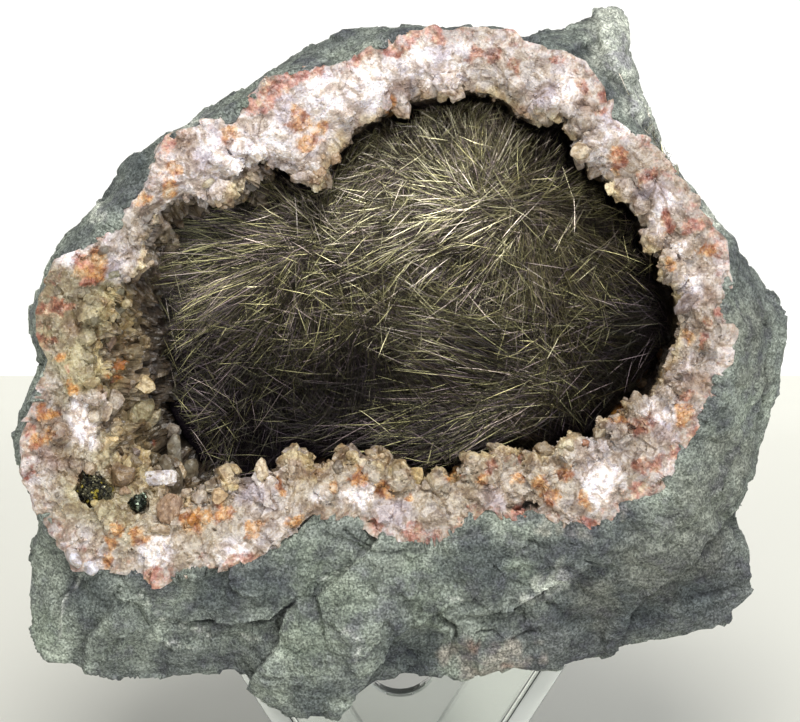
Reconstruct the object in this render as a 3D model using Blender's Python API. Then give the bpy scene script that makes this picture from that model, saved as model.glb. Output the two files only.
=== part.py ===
"""A millerite specimen: hair-thin brassy needles matted in the quartz-lined hollow of a broken piece of
grey rock, which leans back on a clear acrylic stand.

The specimen is modelled upright in its own frame: x to the right, y back into the rock from the plane
of the hollow's rim, z up, with its origin on that plane. An empty then leans it back on the stand.
Outlines are in millimetres, (x, z), clockwise from the upper left as seen from the front."""

import math
import random

import bmesh
import bpy
from mathutils import Matrix, Vector, noise

MM = 0.001
GAP = 0.0003  # between pieces that touch
EYE = 500 * MM  # the outlines are what is seen from this far in front of the rim
LEAN = math.radians(15)  # the specimen leans back by this
LONGEST_SPAN = 7 * MM  # between two columns of points, along the silhouette
HUB = Vector((3.0, 0, 7.7)) * MM  # the columns run round this axis
FLOOR_HUB = Vector((9.0, 0, 9.0)) * MM  # the middle of the hollow's floor, to the right of the rim's

SILHOUETTE = [
    (-38, 32), (-35.5, 34), (-28.5, 36.5), (-23, 40), (-17.5, 44), (-12, 47.5), (-8.5, 49), (-2, 50),
    (5, 50), (12.5, 50), (16, 49.5), (18.5, 48), (20, 48.5),
    (26, 50), (30, 52), (32.5, 52), (34, 50), (33.5, 47), (34, 44), (35.5, 39.5),  # the pinnacle
    (38.5, 32), (43, 26.5), (47, 21), (52, 15), (54.5, 11.5),
    (58, 8), (58, 4), (57, -4), (55, -11.5), (52, -19),  # the knob on the right
    (50, -22), (50, -24.5), (52, -28), (53.5, -34.5), (51, -37), (47.5, -40),  # below the notch
    (42.5, -41), (33.5, -43), (26, -45), (23.5, -46.5), (16.5, -46), (12, -47), (9.5, -48.5), (6, -47),
    (1.5, -47), (-4, -48.5), (-6, -50), (-10, -53), (-13.5, -53), (-17, -52.5), (-20.5, -50.5),
    (-25, -46.5), (-31.5, -47), (-37.5, -48), (-43, -47.5), (-48, -46.5), (-53.5, -45),
    (-55.5, -40.5), (-56, -36.5), (-55.5, -29.5), (-54.5, -24.5), (-57, -16.5), (-58, -12.5),
    (-57.5, -8), (-53.5, 0), (-55, 4), (-55, 7.5), (-52.5, 15), (-50.5, 18.5), (-45, 24), (-41.5, 30),
]
# Where the crust meets the rock
CONTACT = [
    (-52.5, 15.5), (-47.5, 16.5), (-44.5, 18.5), (-42, 22), (-38, 26.5), (-36.5, 29), (-36, 33),
    (-29, 36.5), (-25, 37.5), (-19.5, 42), (-14, 44), (-9, 43.5), (-5.5, 46.5), (0, 49), (5.5, 49.5),
    (14, 49.5), (18.5, 47.5), (20, 46.5), (25.5, 45.5), (27.5, 44.5), (30, 41.5), (32, 36),
    (36.5, 32.5), (42.5, 26), (45.5, 22), (49, 18), (49, 11), (48, 7.5), (51, 3), (48, -1.5),
    (48, -4.5), (44.5, -8.5), (42.5, -12), (40.5, -17), (37, -20), (32, -22.5), (30.5, -25.5),
    (28, -26), (22, -23.5), (16, -23.5), (13.5, -21.5), (9.5, -24.5), (6, -27), (1, -28), (-3, -26.5),
    (-7, -23.5), (-12, -21.5), (-14, -25), (-17.5, -28), (-20, -30.5), (-27.5, -30.5), (-35, -33),
    (-36.5, -33.5), (-40, -32), (-44.5, -31), (-47.5, -32), (-51, -27), (-55, -21.5), (-56, -18.5),
    (-57, -13.5), (-56, -9.5), (-53.5, -2), (-53.5, 0), (-54.5, 3.5), (-54.5, 8.5),
]
# The crust's inner edge, where the hollow opens
MOUTH = [
    (-42, 12), (-38, 14), (-38.5, 17), (-37, 21.5), (-33.5, 21.5), (-30.5, 26), (-28, 25), (-23, 26),
    (-21.5, 30), (-17, 29), (-14.5, 26.5), (-13, 24.5), (-11.5, 28), (-9.5, 31), (-9.5, 33.5),
    (-5, 35.5), (-4, 38), (4, 39.5), (11.5, 41), (15.5, 39.5), (20.5, 35.5), (23.5, 36.5), (26, 36),
    (28, 33), (27, 30.5), (28.5, 28.5), (32, 27), (34.5, 25), (38, 19.5), (38, 17.5), (40.5, 17),
    (39, 15.5), (41.5, 10), (42.5, 4), (40.5, 0.5), (38.5, -5), (36, -5.5), (34, -7.5), (30, -10.5),
    (29, -13), (22.5, -13.5), (20.5, -14.5), (15.5, -12.5), (13, -14.5), (8, -17), (6.5, -18.5),
    (0.5, -16.5), (-3, -15.5), (-8, -14.5), (-10, -16), (-17, -16), (-20, -17.5), (-26, -19.5),
    (-28.5, -20.5), (-35, -20), (-39, -17), (-43.5, -13.5), (-45.5, -9), (-44.5, -1.5),
    (-45.5, 5.5), (-44, 9),
]

# Depth of the silhouette behind the rim, in mm, by bearing in degrees counterclockwise from the right
SILHOUETTE_DEPTH = [(0, 15), (30, 16), (60, 19), (85, 9), (130, 8), (180, 8), (230, 9), (270, 8), (315, 14)]
ROCK_DEPTH = 66 * MM
# (scale, share of the way back) of the rings behind the silhouette
BACK_RINGS = [(1.0, 0.12), (0.985, 0.27), (0.955, 0.42), (0.9, 0.57), (0.81, 0.72), (0.67, 0.85), (0.42, 0.95)]
FACE_RINGS = [0.16, 0.38, 0.6, 0.81]  # shares of the way from the contact to the silhouette
LIP = 0.8 * MM  # the least rock that shows outside the crust
# (scale about the floor's hub, depth in mm) of the hollow in the rock and of the crust's inner wall
HOLLOW_RINGS = [(0.975, 9), (0.91, 20), (0.73, 32), (0.42, 40.5)]
HOLLOW_FLOOR = 43 * MM
WALL_RINGS = [(1.03, 7.5), (1.01, 15), (0.91, 23), (0.69, 30), (0.36, 35.5)]
WALL_FLOOR = 37.5 * MM
MOUTH_DEPTH = 2.4 * MM
LEFT_SLOPE = 9 * MM  # how far the left wall has come in at the depth below
LEFT_SLOPE_DEPTH = 14 * MM
LEFT_MIDDLE = math.radians(200)  # bearing of the middle of that slope

ROCK_WALL = 1.2 * MM  # the least rock round the hollow, seen from the front
# Flat broken faces of the back: the way each one faces, and its distance from the origin in mm
BROKEN_FACES = [
    ((0.1, 0.98, 0.15), 57), ((-0.62, 0.75, 0.2), 57), ((0.66, 0.7, 0.28), 59), ((0.5, 0.7, -0.5), 57),
    ((-0.35, 0.62, 0.7), 53), ((-0.1, 0.6, 0.79), 54), ((-0.5, 0.6, -0.6), 57),
]

UNDERSIDE = -48.5 * MM  # height of the level face that the specimen rests on, from its origin
UNDERSIDE_FROM = 12 * MM  # it begins this far behind the rim

CRUST_RINGS = [0.18, 0.4, 0.62, 0.82]  # shares of the way from the contact to the mouth
CRYSTALS = 76
CRYSTAL_SEED = 11

MAT_EDGE = 8.2 * MM  # depth of the needle mat's edge, except on the left
MAT_LEFT_EDGE = 12.5 * MM
MAT_CLEAR = 0.9 * MM  # between the mat and the crust's wall
MAT_RINGS = [0.88, 0.7, 0.5, 0.3, 0.12]
MAT_OVAL = (35, 26)  # the inner rings run towards an oval of these half axes, in mm
MAT_DEPTH = 9 * MM  # of its open face
# (x, z, radius, rise) of the sprays that stand out of the mat, and of the gaps between them, in mm
SPRAYS = [
    (-12, 19, 13, 3.2), (12, 24, 9, 2.6), (19, 24, 9, 2.6), (-4, 4, 9, 2.2), (24, 5, 10, 3.0),
    (25, -4, 7, 1.6), (-26, -8, 6, 1.2), (-10, -10, 6, 1.4), (8, -12, 6, 1.4),
    (-16, -12, 9, -4.5), (35, -3, 7, -4.0), (25, 31, 6, -3.0), (-27, 22, 6, -3.0),
]

SULPHIDES = {  # name: centre (x, depth, z), half sizes (x, y, z), seed
    "brassy_sulphide": ((-46.0, 0.2, -19.2), (3.3, 2.0, 2.8), 3),
    "dark_sulphide": ((-39.3, 0.8, -21.4), (1.7, 1.5, 1.5), 8),
}

SHEET = 3 * MM  # thickness of the stand's acrylic
WALL_FOOT = -79.5 * MM  # height of the base's top face from the specimen's origin
WALL_OUTER = 26.2 * MM  # half the width over the walls' outer faces at the rock's underside
WALL_SPLAY = math.radians(31)
STAND_FRONT = 3 * MM
WALL_LENGTH = 46 * MM
BASE_SIZE = (76 * MM, 54 * MM)
NOTCH_RADIUS = 5.6 * MM

MATERIALS = {  # linear base colour, roughness, transmission
    "host_rock": ((0.13, 0.145, 0.13, 1), 0.85, 0),
    "quartz": ((0.70, 0.62, 0.55, 1), 0.35, 0.1),
    "millerite": ((0.16, 0.14, 0.075, 1), 0.35, 0),
    "brassy_sulphide": ((0.35, 0.27, 0.06, 1), 0.35, 0),
    "dark_sulphide": ((0.03, 0.045, 0.04, 1), 0.3, 0),
    "clear_acrylic": ((0.95, 0.97, 0.96, 1), 0.05, 1),
}


def clear_scene():
    for thing in list(bpy.data.objects):
        bpy.data.objects.remove(thing)


def new_collection(name):
    found = bpy.data.collections.new(name)
    bpy.context.scene.collection.children.link(found)
    return found


def material(name):
    colour, roughness, transmission = MATERIALS[name]
    made = bpy.data.materials.new(name)
    made.use_nodes = True
    made.diffuse_color = colour
    shader = made.node_tree.nodes["Principled BSDF"]
    shader.inputs["Base Color"].default_value = colour
    shader.inputs["Roughness"].default_value = roughness
    shader.inputs["Transmission Weight"].default_value = transmission
    shader.inputs["Metallic"].default_value = 1.0 if name in ("millerite", "brassy_sulphide") else 0.0
    return made


def add_object(name, mesh, where, finish, parent=None):
    made = bpy.data.objects.new(name, mesh)
    where.objects.link(made)
    mesh.materials.append(finish)
    made.parent = parent
    return made


# Outlines and columns


def bearing_of(point):
    return math.atan2(point.z - HUB.z, point.x - HUB.x)


def reach(outline, bearing, nearest=False):
    """How far an outline is from the hub along a bearing, in metres."""
    ray = Vector((math.cos(bearing), math.sin(bearing)))
    hits = []
    for i, (x, z) in enumerate(outline):
        a = Vector((x * MM - HUB.x, z * MM - HUB.z))
        nx, nz = outline[(i + 1) % len(outline)]
        side = Vector((nx * MM - HUB.x, nz * MM - HUB.z)) - a
        cross = ray.x * side.y - ray.y * side.x
        if abs(cross) < 1e-12:
            continue
        along = (a.x * side.y - a.y * side.x) / cross
        share = (a.x * ray.y - a.y * ray.x) / cross
        if along > 0 and -1e-6 <= share <= 1 + 1e-6:
            hits.append(along)
    return min(hits) if nearest else max(hits)


def around(table, bearing):
    """A value read from a table of (degrees, value) round the hub."""
    turn = math.degrees(bearing) % 360
    rows = table + [(table[0][0] + 360, table[0][1])]
    for (low, a), (high, b) in zip(rows, rows[1:]):
        if low <= turn <= high:
            share = (turn - low) / (high - low)
            return a + (b - a) * (3 - 2 * share) * share**2
    raise ValueError(turn)


def columns():
    """Bearings of the columns: the silhouette's own corners, and points between them on long spans."""
    found = []
    for i, (x, z) in enumerate(SILHOUETTE):
        a = Vector((x, 0, z)) * MM
        nx, nz = SILHOUETTE[(i + 1) % len(SILHOUETTE)]
        b = Vector((nx, 0, nz)) * MM
        parts = max(1, math.ceil((b - a).length / LONGEST_SPAN))
        found += [bearing_of(a.lerp(b, k / parts)) for k in range(parts)]
    return sorted({round(b, 6) for b in found}, reverse=True)


BEARINGS = columns()


def at(bearing, distance, depth):
    """The point at a true distance from the hub's axis."""
    return Vector((HUB.x + distance * math.cos(bearing), depth, HUB.z + distance * math.sin(bearing)))


def seen(point):
    """Moves a point out from the line of sight, so that it is seen where it was."""
    wider = (EYE + point.y) / EYE
    return Vector((point.x * wider, point.y, point.z * wider))


def about(centre, point, scale, depth):
    return Vector(
        (centre.x + (point.x - centre.x) * scale, depth, centre.z + (point.z - centre.z) * scale)
    )


def silhouette_ring():
    return [
        seen(at(b, reach(SILHOUETTE, b), around(SILHOUETTE_DEPTH, b) * MM)) for b in BEARINGS
    ]


def contact_ring():
    ring = []
    for b in BEARINGS:
        out = min(reach(CONTACT, b), reach(SILHOUETTE, b) - LIP)
        ring.append(at(b, out, 0.5 * MM * noise.noise(Vector((3 * math.cos(b), 3 * math.sin(b), 0)))))
    return ring


def mouth_ring():
    return [seen(at(b, reach(MOUTH, b, nearest=True), MOUTH_DEPTH)) for b in BEARINGS]


def smooth(share):
    share = min(1, max(0, share))
    return (3 - 2 * share) * share**2


def leftness(bearing):
    """1 at the left of the hollow, a little below its middle, and 0 from the upper left round the right."""
    return smooth(1.5 * math.cos(bearing - LEFT_MIDDLE) - 0.35)


def wall_point(bearing, mouth, depth):
    """A point of the crust's inner wall, at any depth behind its mouth."""
    rings = [(1.0, MOUTH_DEPTH / MM)] + WALL_RINGS + [(0.0, WALL_FLOOR / MM)]
    for (near, low), (far, high) in zip(rings, rings[1:]):
        if depth <= high * MM + 1e-9:
            scale = near + (far - near) * (depth / MM - low) / (high - low)
            break
    point = about(FLOOR_HUB, mouth, scale, depth)
    slope = smooth((depth - MOUTH_DEPTH) / LEFT_SLOPE_DEPTH) * leftness(bearing)
    point.x += LEFT_SLOPE * slope * min(1, scale / 0.93)
    return point


# Surfaces


def skin(rings, first, last):
    """A closed surface over rings of as many points each, from a first pole to a last one."""
    bm = bmesh.new()
    grid = [[bm.verts.new(p) for p in ring] for ring in rings]
    start, end = bm.verts.new(first), bm.verts.new(last)
    count = len(rings[0])
    for i in range(count):
        j = (i + 1) % count
        bm.faces.new((start, grid[0][j], grid[0][i]))
        bm.faces.new((end, grid[-1][i], grid[-1][j]))
        for near, far in zip(grid, grid[1:]):
            bm.faces.new((near[i], near[j], far[j]))
            bm.faces.new((near[i], far[j], far[i]))
    bmesh.ops.recalc_face_normals(bm, faces=bm.faces)
    if bm.calc_volume(signed=True) < 0:
        bmesh.ops.reverse_faces(bm, faces=bm.faces)
    return bm


def to_mesh(bm, name):
    mesh = bpy.data.meshes.new(name)
    bm.to_mesh(mesh)
    bm.free()
    return mesh


def lumps(point, size, seed):
    """Smooth noise about as wide as size, from -1 to 1."""
    return noise.noise(point / size + Vector((seed, 0, 0)) * 7.3)


def height_of(point):
    """A specimen point's height once the specimen leans back."""
    return point.z * math.cos(LEAN) - point.y * math.sin(LEAN)


def facets(point, size, seed):
    """Noise made of flat tilted patches about as wide as size, with small steps between them."""
    place = point / size + Vector((0, seed * 5.1, 0))
    middle = noise.voronoi(place)[1][0]
    return (place - middle).dot(noise.cell_vector(middle * 3.7) * 2 - Vector((1, 1, 1)))


def even(values, reach_by):
    """Each value's mean with its neighbours round a ring, up to reach_by places away."""
    count = len(values)
    spread = range(-reach_by, reach_by + 1)
    return [sum((values[(i + k) % count] for k in spread), 0 * values[0]) / len(spread) for i in range(count)]


# The tongue is a proud flat block on the front, below the hollow, with a set-back face beside it.
TONGUE = [(-17.5, -40), (-22, -47), (-20.5, -52), (-13.5, -54), (-5.5, -48), (-1.5, -41)]
SET_BACK = [(-1.5, -41), (-5.5, -48), (9, -49.5), (10, -41)]


def inside(outline, point):
    hit = False
    for i, (x1, z1) in enumerate(outline):
        x2, z2 = outline[(i + 1) % len(outline)]
        if (z1 > point.z / MM) != (z2 > point.z / MM):
            if point.x / MM < x1 + (x2 - x1) * (point.z / MM - z1) / (z2 - z1):
                hit = not hit
    return hit


def rock_relief(point, amount):
    """Lumps, ledges and the tongue on the rock's front, as a move towards the front or back."""
    move = 1.2 * MM * lumps(point, 17 * MM, 1) + 2.6 * MM * facets(point, 13 * MM, 2)
    bands = (point.z + 0.55 * point.x + 2.5 * MM * lumps(point, 14 * MM, 3)) / (8.5 * MM)
    move += 0.9 * MM * (smooth(3 * (bands - math.floor(bands))) - 0.5)
    if inside(TONGUE, point):
        move -= 2.2 * MM
    if inside(SET_BACK, point):
        move += 1.6 * MM
    return point + Vector((0, amount * move, 0))


def host_rock(where, parent):
    silhouette, contact = silhouette_ring(), contact_ring()
    even_edge, even_contact = even(silhouette, 3), even(contact, 4)
    face = []
    for share in FACE_RINGS:
        ring = []
        for a, b, ea, eb in zip(contact, silhouette, even_contact, even_edge):
            start, end = a.lerp(ea, min(1, share * 2)), b.lerp(eb, min(1, (1 - share) * 1.5))
            point = start.lerp(end, share)
            point.y = a.y + (b.y - a.y) * share**1.7
            wide = (b - a).xz.length
            if wide < 5 * MM:
                point.x, point.z = a.lerp(b, share).xz
            ring.append(rock_relief(point, min(1, wide / (9 * MM)) * min(1, 4 * share)))
        face.append(ring)
    edge = [rock_relief(b, min(0.7, (b - a).xz.length / (12 * MM))) for a, b in zip(contact, silhouette)]
    back = []
    for scale, share in BACK_RINGS:
        ring = []
        for p, even_p in zip(silhouette, even_edge):
            p = p.lerp(even_p, min(1, 2 * share))
            point = about(Vector((0, 0, 0)), p, scale, p.y + (ROCK_DEPTH - p.y) * share)
            point = break_off(point)
            out = (point - Vector((0, 30, 0)) * MM).normalized()
            swell = 1.3 * MM * lumps(point, 22 * MM, 4) + 3.4 * MM * facets(point, 19 * MM, 5)
            ring.append(point + out * swell * min(1, 3 * share, 1.6 * scale))
        back.append(ring)
    rim_outline = [(p.x / MM, p.z / MM) for p in contact]
    for ring in [edge] + back:
        for p in ring:
            keep_round_hollow(p, rim_outline)
            short = UNDERSIDE - height_of(p)
            if p.y > UNDERSIDE_FROM and p.z < 0 and short > 0:
                p.z += short / math.cos(LEAN)
    rings = list(reversed(back)) + [edge] + list(reversed(face)) + [contact] + hollow_rings(contact)
    bm = skin(rings, Vector((0, ROCK_DEPTH, 0)), hollow_pole())
    return add_object("host_rock", to_mesh(bm, "host_rock"), where, material("host_rock"), parent)


def break_off(point):
    for facing, distance in BROKEN_FACES:
        normal = Vector(facing).normalized()
        point = point - normal * max(0, point.dot(normal) - distance * MM)
    return point


def keep_round_hollow(point, rim_outline):
    """Moves a point of the rock's outside out where it would come too near the hollow."""
    rings = [(1.0, 0)] + HOLLOW_RINGS
    for (near, low), (far, high) in zip(rings, rings[1:]):
        if low * MM <= point.y < high * MM:
            scale = near + (far - near) * (point.y / MM - low) / (high - low)
            widened = about(FLOOR_HUB, point, 1 / scale, 0)
            bearing = bearing_of(widened)
            least = reach(rim_outline, bearing) + ROCK_WALL
            if (widened - HUB).length < least:
                moved = about(FLOOR_HUB, at(bearing, least, 0), scale, 0)
                point.x, point.z = moved.x, moved.z


def hollow_rings(contact):
    return [[about(FLOOR_HUB, p, s, d * MM) for p in contact] for s, d in HOLLOW_RINGS]


def hollow_pole():
    return Vector((FLOOR_HUB.x, HOLLOW_FLOOR, FLOOR_HUB.z))


def lining(contact):
    """The hollow's wall moved inward by the gap, with the contact's ring first."""
    rings = [contact] + hollow_rings(contact)
    bm = skin(rings, Vector((HUB.x, -5 * MM, HUB.z)), hollow_pole())
    bm.normal_update()
    bm.verts.ensure_lookup_table()
    count = len(contact)
    moved = []
    for k, ring in enumerate(rings):
        line = []
        for i, point in enumerate(ring):
            if k == 0:
                inward = (HUB - point).normalized()
            else:
                inward = -bm.verts[k * count + i].normal
            line.append(point + inward * GAP * 1.15)
        moved.append(line)
    pole = hollow_pole() + Vector((0, -GAP * 1.15, 0))
    bm.free()
    return moved, pole


def crystal(root, axis, radius, length, twist):
    """A six-sided prism with a pointed end, on its own root."""
    side = axis.orthogonal().normalized()
    other = axis.cross(side)
    rings = []
    for along, wide in ((0, 1.0), (0.62, 0.92)):
        rings.append(
            [
                root
                + axis * length * along
                + (side * math.cos(t) + other * math.sin(t)) * radius * wide
                for t in (twist + k * math.pi / 3 for k in range(6))
            ]
        )
    return skin(rings, root - axis * radius * 0.3, root + axis * length)


def crust_crystals(contact, mouth):
    """The larger crystals of the crust, kept clear of the rock outside and of the needles inside."""
    rng = random.Random(CRYSTAL_SEED)
    made = bmesh.new()
    placed = 0
    while placed < CRYSTALS:
        i = rng.randrange(len(BEARINGS))
        bearing = BEARINGS[i]
        left = leftness(bearing)
        inner = rng.random() < 0.35 * left
        if inner:
            root = wall_point(bearing, mouth[i], rng.uniform(4, 15) * MM)
            axis = Vector((-math.cos(bearing), -0.9, -math.sin(bearing)))
        else:
            root = contact[i].lerp(mouth[i], rng.uniform(0.2, 1.0) ** 0.6)
            root.y += 0.4 * MM
            axis = Vector((-0.35 * math.cos(bearing), -1, -0.35 * math.sin(bearing)))
        axis += Vector([rng.uniform(-0.45, 0.45) for _ in range(3)])
        axis.normalize()
        radius = rng.uniform(1.2, 2.5) * MM
        length = rng.uniform(2.6, 4.6) * MM
        one = crystal(root, axis, radius, length, rng.uniform(0, 1))
        if all(clear_of_neighbours(v.co, i, contact, mouth) for v in one.verts):
            part = bpy.data.meshes.new("crystal")
            one.to_mesh(part)
            made.from_mesh(part)
            bpy.data.meshes.remove(part)
            placed += 1
        one.free()
    return made


def mat_edge_depth(bearing):
    return MAT_EDGE + (MAT_LEFT_EDGE - MAT_EDGE) * leftness(bearing)


def clear_of_neighbours(point, i, contact, mouth):
    bearing = bearing_of(point)
    out = math.hypot(point.x - HUB.x, point.z - HUB.z)
    limit = min(reach(CONTACT, bearing), reach(SILHOUETTE, bearing) - LIP) - 0.8 * MM
    return out < limit and point.y < mat_edge_depth(bearing) - 1.3 * MM


def quartz_crust(where, parent, guides):
    contact, mouth = contact_ring(), mouth_ring()
    outer, outer_pole = lining(contact)
    front = []
    for share in CRUST_RINGS:
        ring = []
        for a, b in zip(outer[0], mouth):
            point = a.lerp(b, share)
            proud = 1.3 * MM * math.sin(math.pi * min(1, share * 1.15))
            point.y += -proud + (1.0 * lumps(point, 6 * MM, 6) + 0.7 * lumps(point, 3 * MM, 7)) * MM
            ring.append(point)
        front.append(ring)
    wall = []
    for _, depth in WALL_RINGS:
        ring = []
        for b, p in zip(BEARINGS, mouth):
            point = wall_point(b, p, depth * MM)
            if depth * MM < mat_edge_depth(b) - 2 * MM:
                point += (HUB - point).normalized() * 0.9 * MM * lumps(point, 5 * MM, 8)
            ring.append(point)
        wall.append(ring)
    rings = list(reversed(outer)) + front + [mouth] + wall
    pole = Vector((FLOOR_HUB.x, WALL_FLOOR, FLOOR_HUB.z))
    bm = skin(rings, outer_pole, pole)
    crust = add_object("quartz_crust", to_mesh(bm, "quartz_crust"), where, material("quartz"), parent)
    crystals = add_object(
        "crust_crystals", to_mesh(crust_crystals(contact, mouth), "crystals"), guides,
        crust.data.materials[0], parent,
    )
    combine(crust, crystals, "UNION", itself=True)
    return crust


def combine(thing, other, how, itself=False):
    """Joins another mesh to a thing, or cuts it out of it, and removes the other one."""
    change = thing.modifiers.new("combine", "BOOLEAN")
    change.operation = how
    change.object = other
    change.solver = "EXACT"
    change.use_self = itself
    seen_by = bpy.context.evaluated_depsgraph_get()
    mesh = bpy.data.meshes.new_from_object(thing.evaluated_get(seen_by))
    thing.modifiers.remove(change)
    old = thing.data
    thing.data = mesh
    bpy.data.meshes.remove(old)
    bpy.data.objects.remove(other)
    bm = bmesh.new()
    bm.from_mesh(mesh)
    bmesh.ops.dissolve_limit(bm, angle_limit=math.radians(0.6), verts=bm.verts, edges=bm.edges)
    bmesh.ops.remove_doubles(bm, verts=bm.verts, dist=0.002 * MM)
    bmesh.ops.triangulate(bm, faces=bm.faces)
    drop_loose(bm)
    bm.to_mesh(mesh)
    bm.free()


def drop_loose(bm):
    """Removes all but the largest body of a mesh, such as a crystal that missed the crust."""
    left, bodies = set(bm.verts), []
    while left:
        body, edge = set(), [left.pop()]
        while edge:
            v = edge.pop()
            body.add(v)
            near = {e.other_vert(v) for e in v.link_edges} & left
            left -= near
            edge += near
        bodies.append(body)
    bodies.sort(key=len)
    for body in bodies[:-1]:
        bmesh.ops.delete(bm, geom=list(body), context="VERTS")


def mat_face_depth(x, z):
    """Depth of the mat's open face: sprays stand out of it, and gaps lie between them."""
    depth = MAT_DEPTH
    for sx, sz, radius, rise in SPRAYS:
        apart = ((x - sx * MM) ** 2 + (z - sz * MM) ** 2) / (radius * MM) ** 2
        depth -= rise * MM * math.exp(-apart)
    return depth


def millerite_hair(where, parent):
    mouth = mouth_ring()
    out = [math.hypot(p.x - HUB.x, p.z - HUB.z) for p in mouth]
    side = []
    for i in range(0, len(BEARINGS), 2):
        b, nearest = BEARINGS[i], min(out[i - 1], out[i], out[(i + 1) % len(out)])
        p = at(b, nearest, MOUTH_DEPTH)
        depth = mat_edge_depth(b)
        column = []
        for share in (0, 0.3, 0.6, 0.85):
            point = wall_point(b, p, depth + (WALL_FLOOR - 4 * MM - depth) * share)
            centre = Vector((FLOOR_HUB.x, point.y - 4 * MM * share, FLOOR_HUB.z))
            column.append(point + (centre - point).normalized() * MAT_CLEAR * (1 + 0.5 * share))
        side.append(column)
    face = []
    for share in MAT_RINGS:
        ring = []
        blend = smooth((1 - share) / 0.45)
        for edge in (column[0] for column in side):
            turn = math.atan2(edge.z - FLOOR_HUB.z, edge.x - FLOOR_HUB.x)
            oval = FLOOR_HUB + Vector((MAT_OVAL[0] * math.cos(turn), 0, MAT_OVAL[1] * math.sin(turn))) * MM
            point = about(FLOOR_HUB, edge, share, 0).lerp(about(FLOOR_HUB, oval, share, 0), blend)
            bump = 0.4 * MM * lumps(point, 4 * MM, 9)
            point.y = edge.y + (mat_face_depth(point.x, point.z) - edge.y) * blend + bump
            ring.append(point)
        face.append(ring)
    rings = [[column[k] for column in side] for k in (3, 2, 1, 0)] + face
    front = Vector((FLOOR_HUB.x, mat_face_depth(FLOOR_HUB.x, FLOOR_HUB.z), FLOOR_HUB.z))
    back = Vector((FLOOR_HUB.x, WALL_FLOOR - 2.2 * MM, FLOOR_HUB.z))
    bm = skin(rings, back, front)
    return add_object(
        "millerite_hair", to_mesh(bm, "millerite_hair"), where, material("millerite"), parent
    )


def sulphide_body(half, seed, grow):
    """A lumpy body of small blocky crystals, about the origin."""
    bm = bmesh.new()
    bmesh.ops.create_icosphere(bm, subdivisions=2, radius=1.0)
    for v in bm.verts:
        bump = 1 + 0.22 * noise.cell(v.co * 2.2 + Vector((seed, 0, 0)))
        v.co = Vector([c * h * MM * bump for c, h in zip(v.co, half)]) + v.co.normalized() * grow
    return bm


def sulphide(name, where, parent, guides, crust):
    """A sulphide cluster, in a pocket of the crust."""
    centre, half, seed = SULPHIDES[name]
    pocket = add_object(
        f"{name}_pocket", to_mesh(sulphide_body(half, seed, GAP), name), guides,
        crust.data.materials[0], parent,
    )
    pocket.location = Vector(centre) * MM
    bpy.context.view_layer.update()
    combine(crust, pocket, "DIFFERENCE")
    made = add_object(name, to_mesh(sulphide_body(half, seed, 0), name), where, material(name), parent)
    made.location = Vector(centre) * MM
    return made


# The stand, in the display's own upright frame with the specimen's origin as its origin


def box(name, low, high, where, finish, parent):
    bm = bmesh.new()
    bmesh.ops.create_cube(bm, size=1)
    size = [b - a for a, b in zip(low, high)]
    middle = [(a + b) / 2 for a, b in zip(low, high)]
    bmesh.ops.scale(bm, vec=size, verts=bm.verts)
    bmesh.ops.translate(bm, vec=middle, verts=bm.verts)
    return add_object(name, to_mesh(bm, name), where, finish, parent)


def stand(where, guides, parent):
    clear = material("clear_acrylic")
    top = UNDERSIDE - GAP
    foot = WALL_FOOT + GAP
    wide = SHEET / math.cos(WALL_SPLAY)  # of a wall, measured level
    wide_base, deep_base = BASE_SIZE
    front = STAND_FRONT - (deep_base - WALL_LENGTH) / 2
    box("stand_base", (-wide_base / 2, front, WALL_FOOT - SHEET), (wide_base / 2, front + deep_base, WALL_FOOT),
        where, clear, parent)
    slope = math.tan(WALL_SPLAY)
    for name, way in (("stand_left_wall", -1), ("stand_right_wall", 1)):
        near, far = sorted((way * WALL_OUTER, way * (WALL_OUTER - wide)))
        wall = box(name, (near, STAND_FRONT, foot), (far, STAND_FRONT + WALL_LENGTH, top), where, clear, parent)
        for v in wall.data.vertices:
            v.co.x += way * slope * (v.co.z - top)
    inner = WALL_OUTER - wide - GAP / math.cos(WALL_SPLAY)
    plate = box("stand_cross_plate", (-inner, STAND_FRONT, foot), (inner, STAND_FRONT + SHEET, top),
                where, clear, parent)
    for v in plate.data.vertices:
        v.co.x -= math.copysign(slope * (top - v.co.z), v.co.x)
    bm = bmesh.new()
    bmesh.ops.create_cone(bm, cap_ends=True, segments=32, radius1=NOTCH_RADIUS, radius2=NOTCH_RADIUS,
                          depth=4 * SHEET)
    bmesh.ops.rotate(bm, cent=(0, 0, 0), matrix=Matrix.Rotation(math.pi / 2, 3, "X"), verts=bm.verts)
    bmesh.ops.translate(bm, vec=(0, STAND_FRONT + SHEET / 2, top), verts=bm.verts)
    cutter = add_object("notch", to_mesh(bm, "notch"), guides, clear, parent)
    combine(plate, cutter, "DIFFERENCE")


def centre_on_floor(display, things):
    """Stands the display on z = 0, with the middle of its box over the origin."""
    bpy.context.view_layer.update()
    corners = [t.matrix_world @ v.co for t in things for v in t.data.vertices]
    low = [min(c[k] for c in corners) for k in range(3)]
    high = [max(c[k] for c in corners) for k in range(3)]
    display.location = (-(low[0] + high[0]) / 2, -(low[1] + high[1]) / 2, -low[2])
    bpy.context.view_layer.update()


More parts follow.
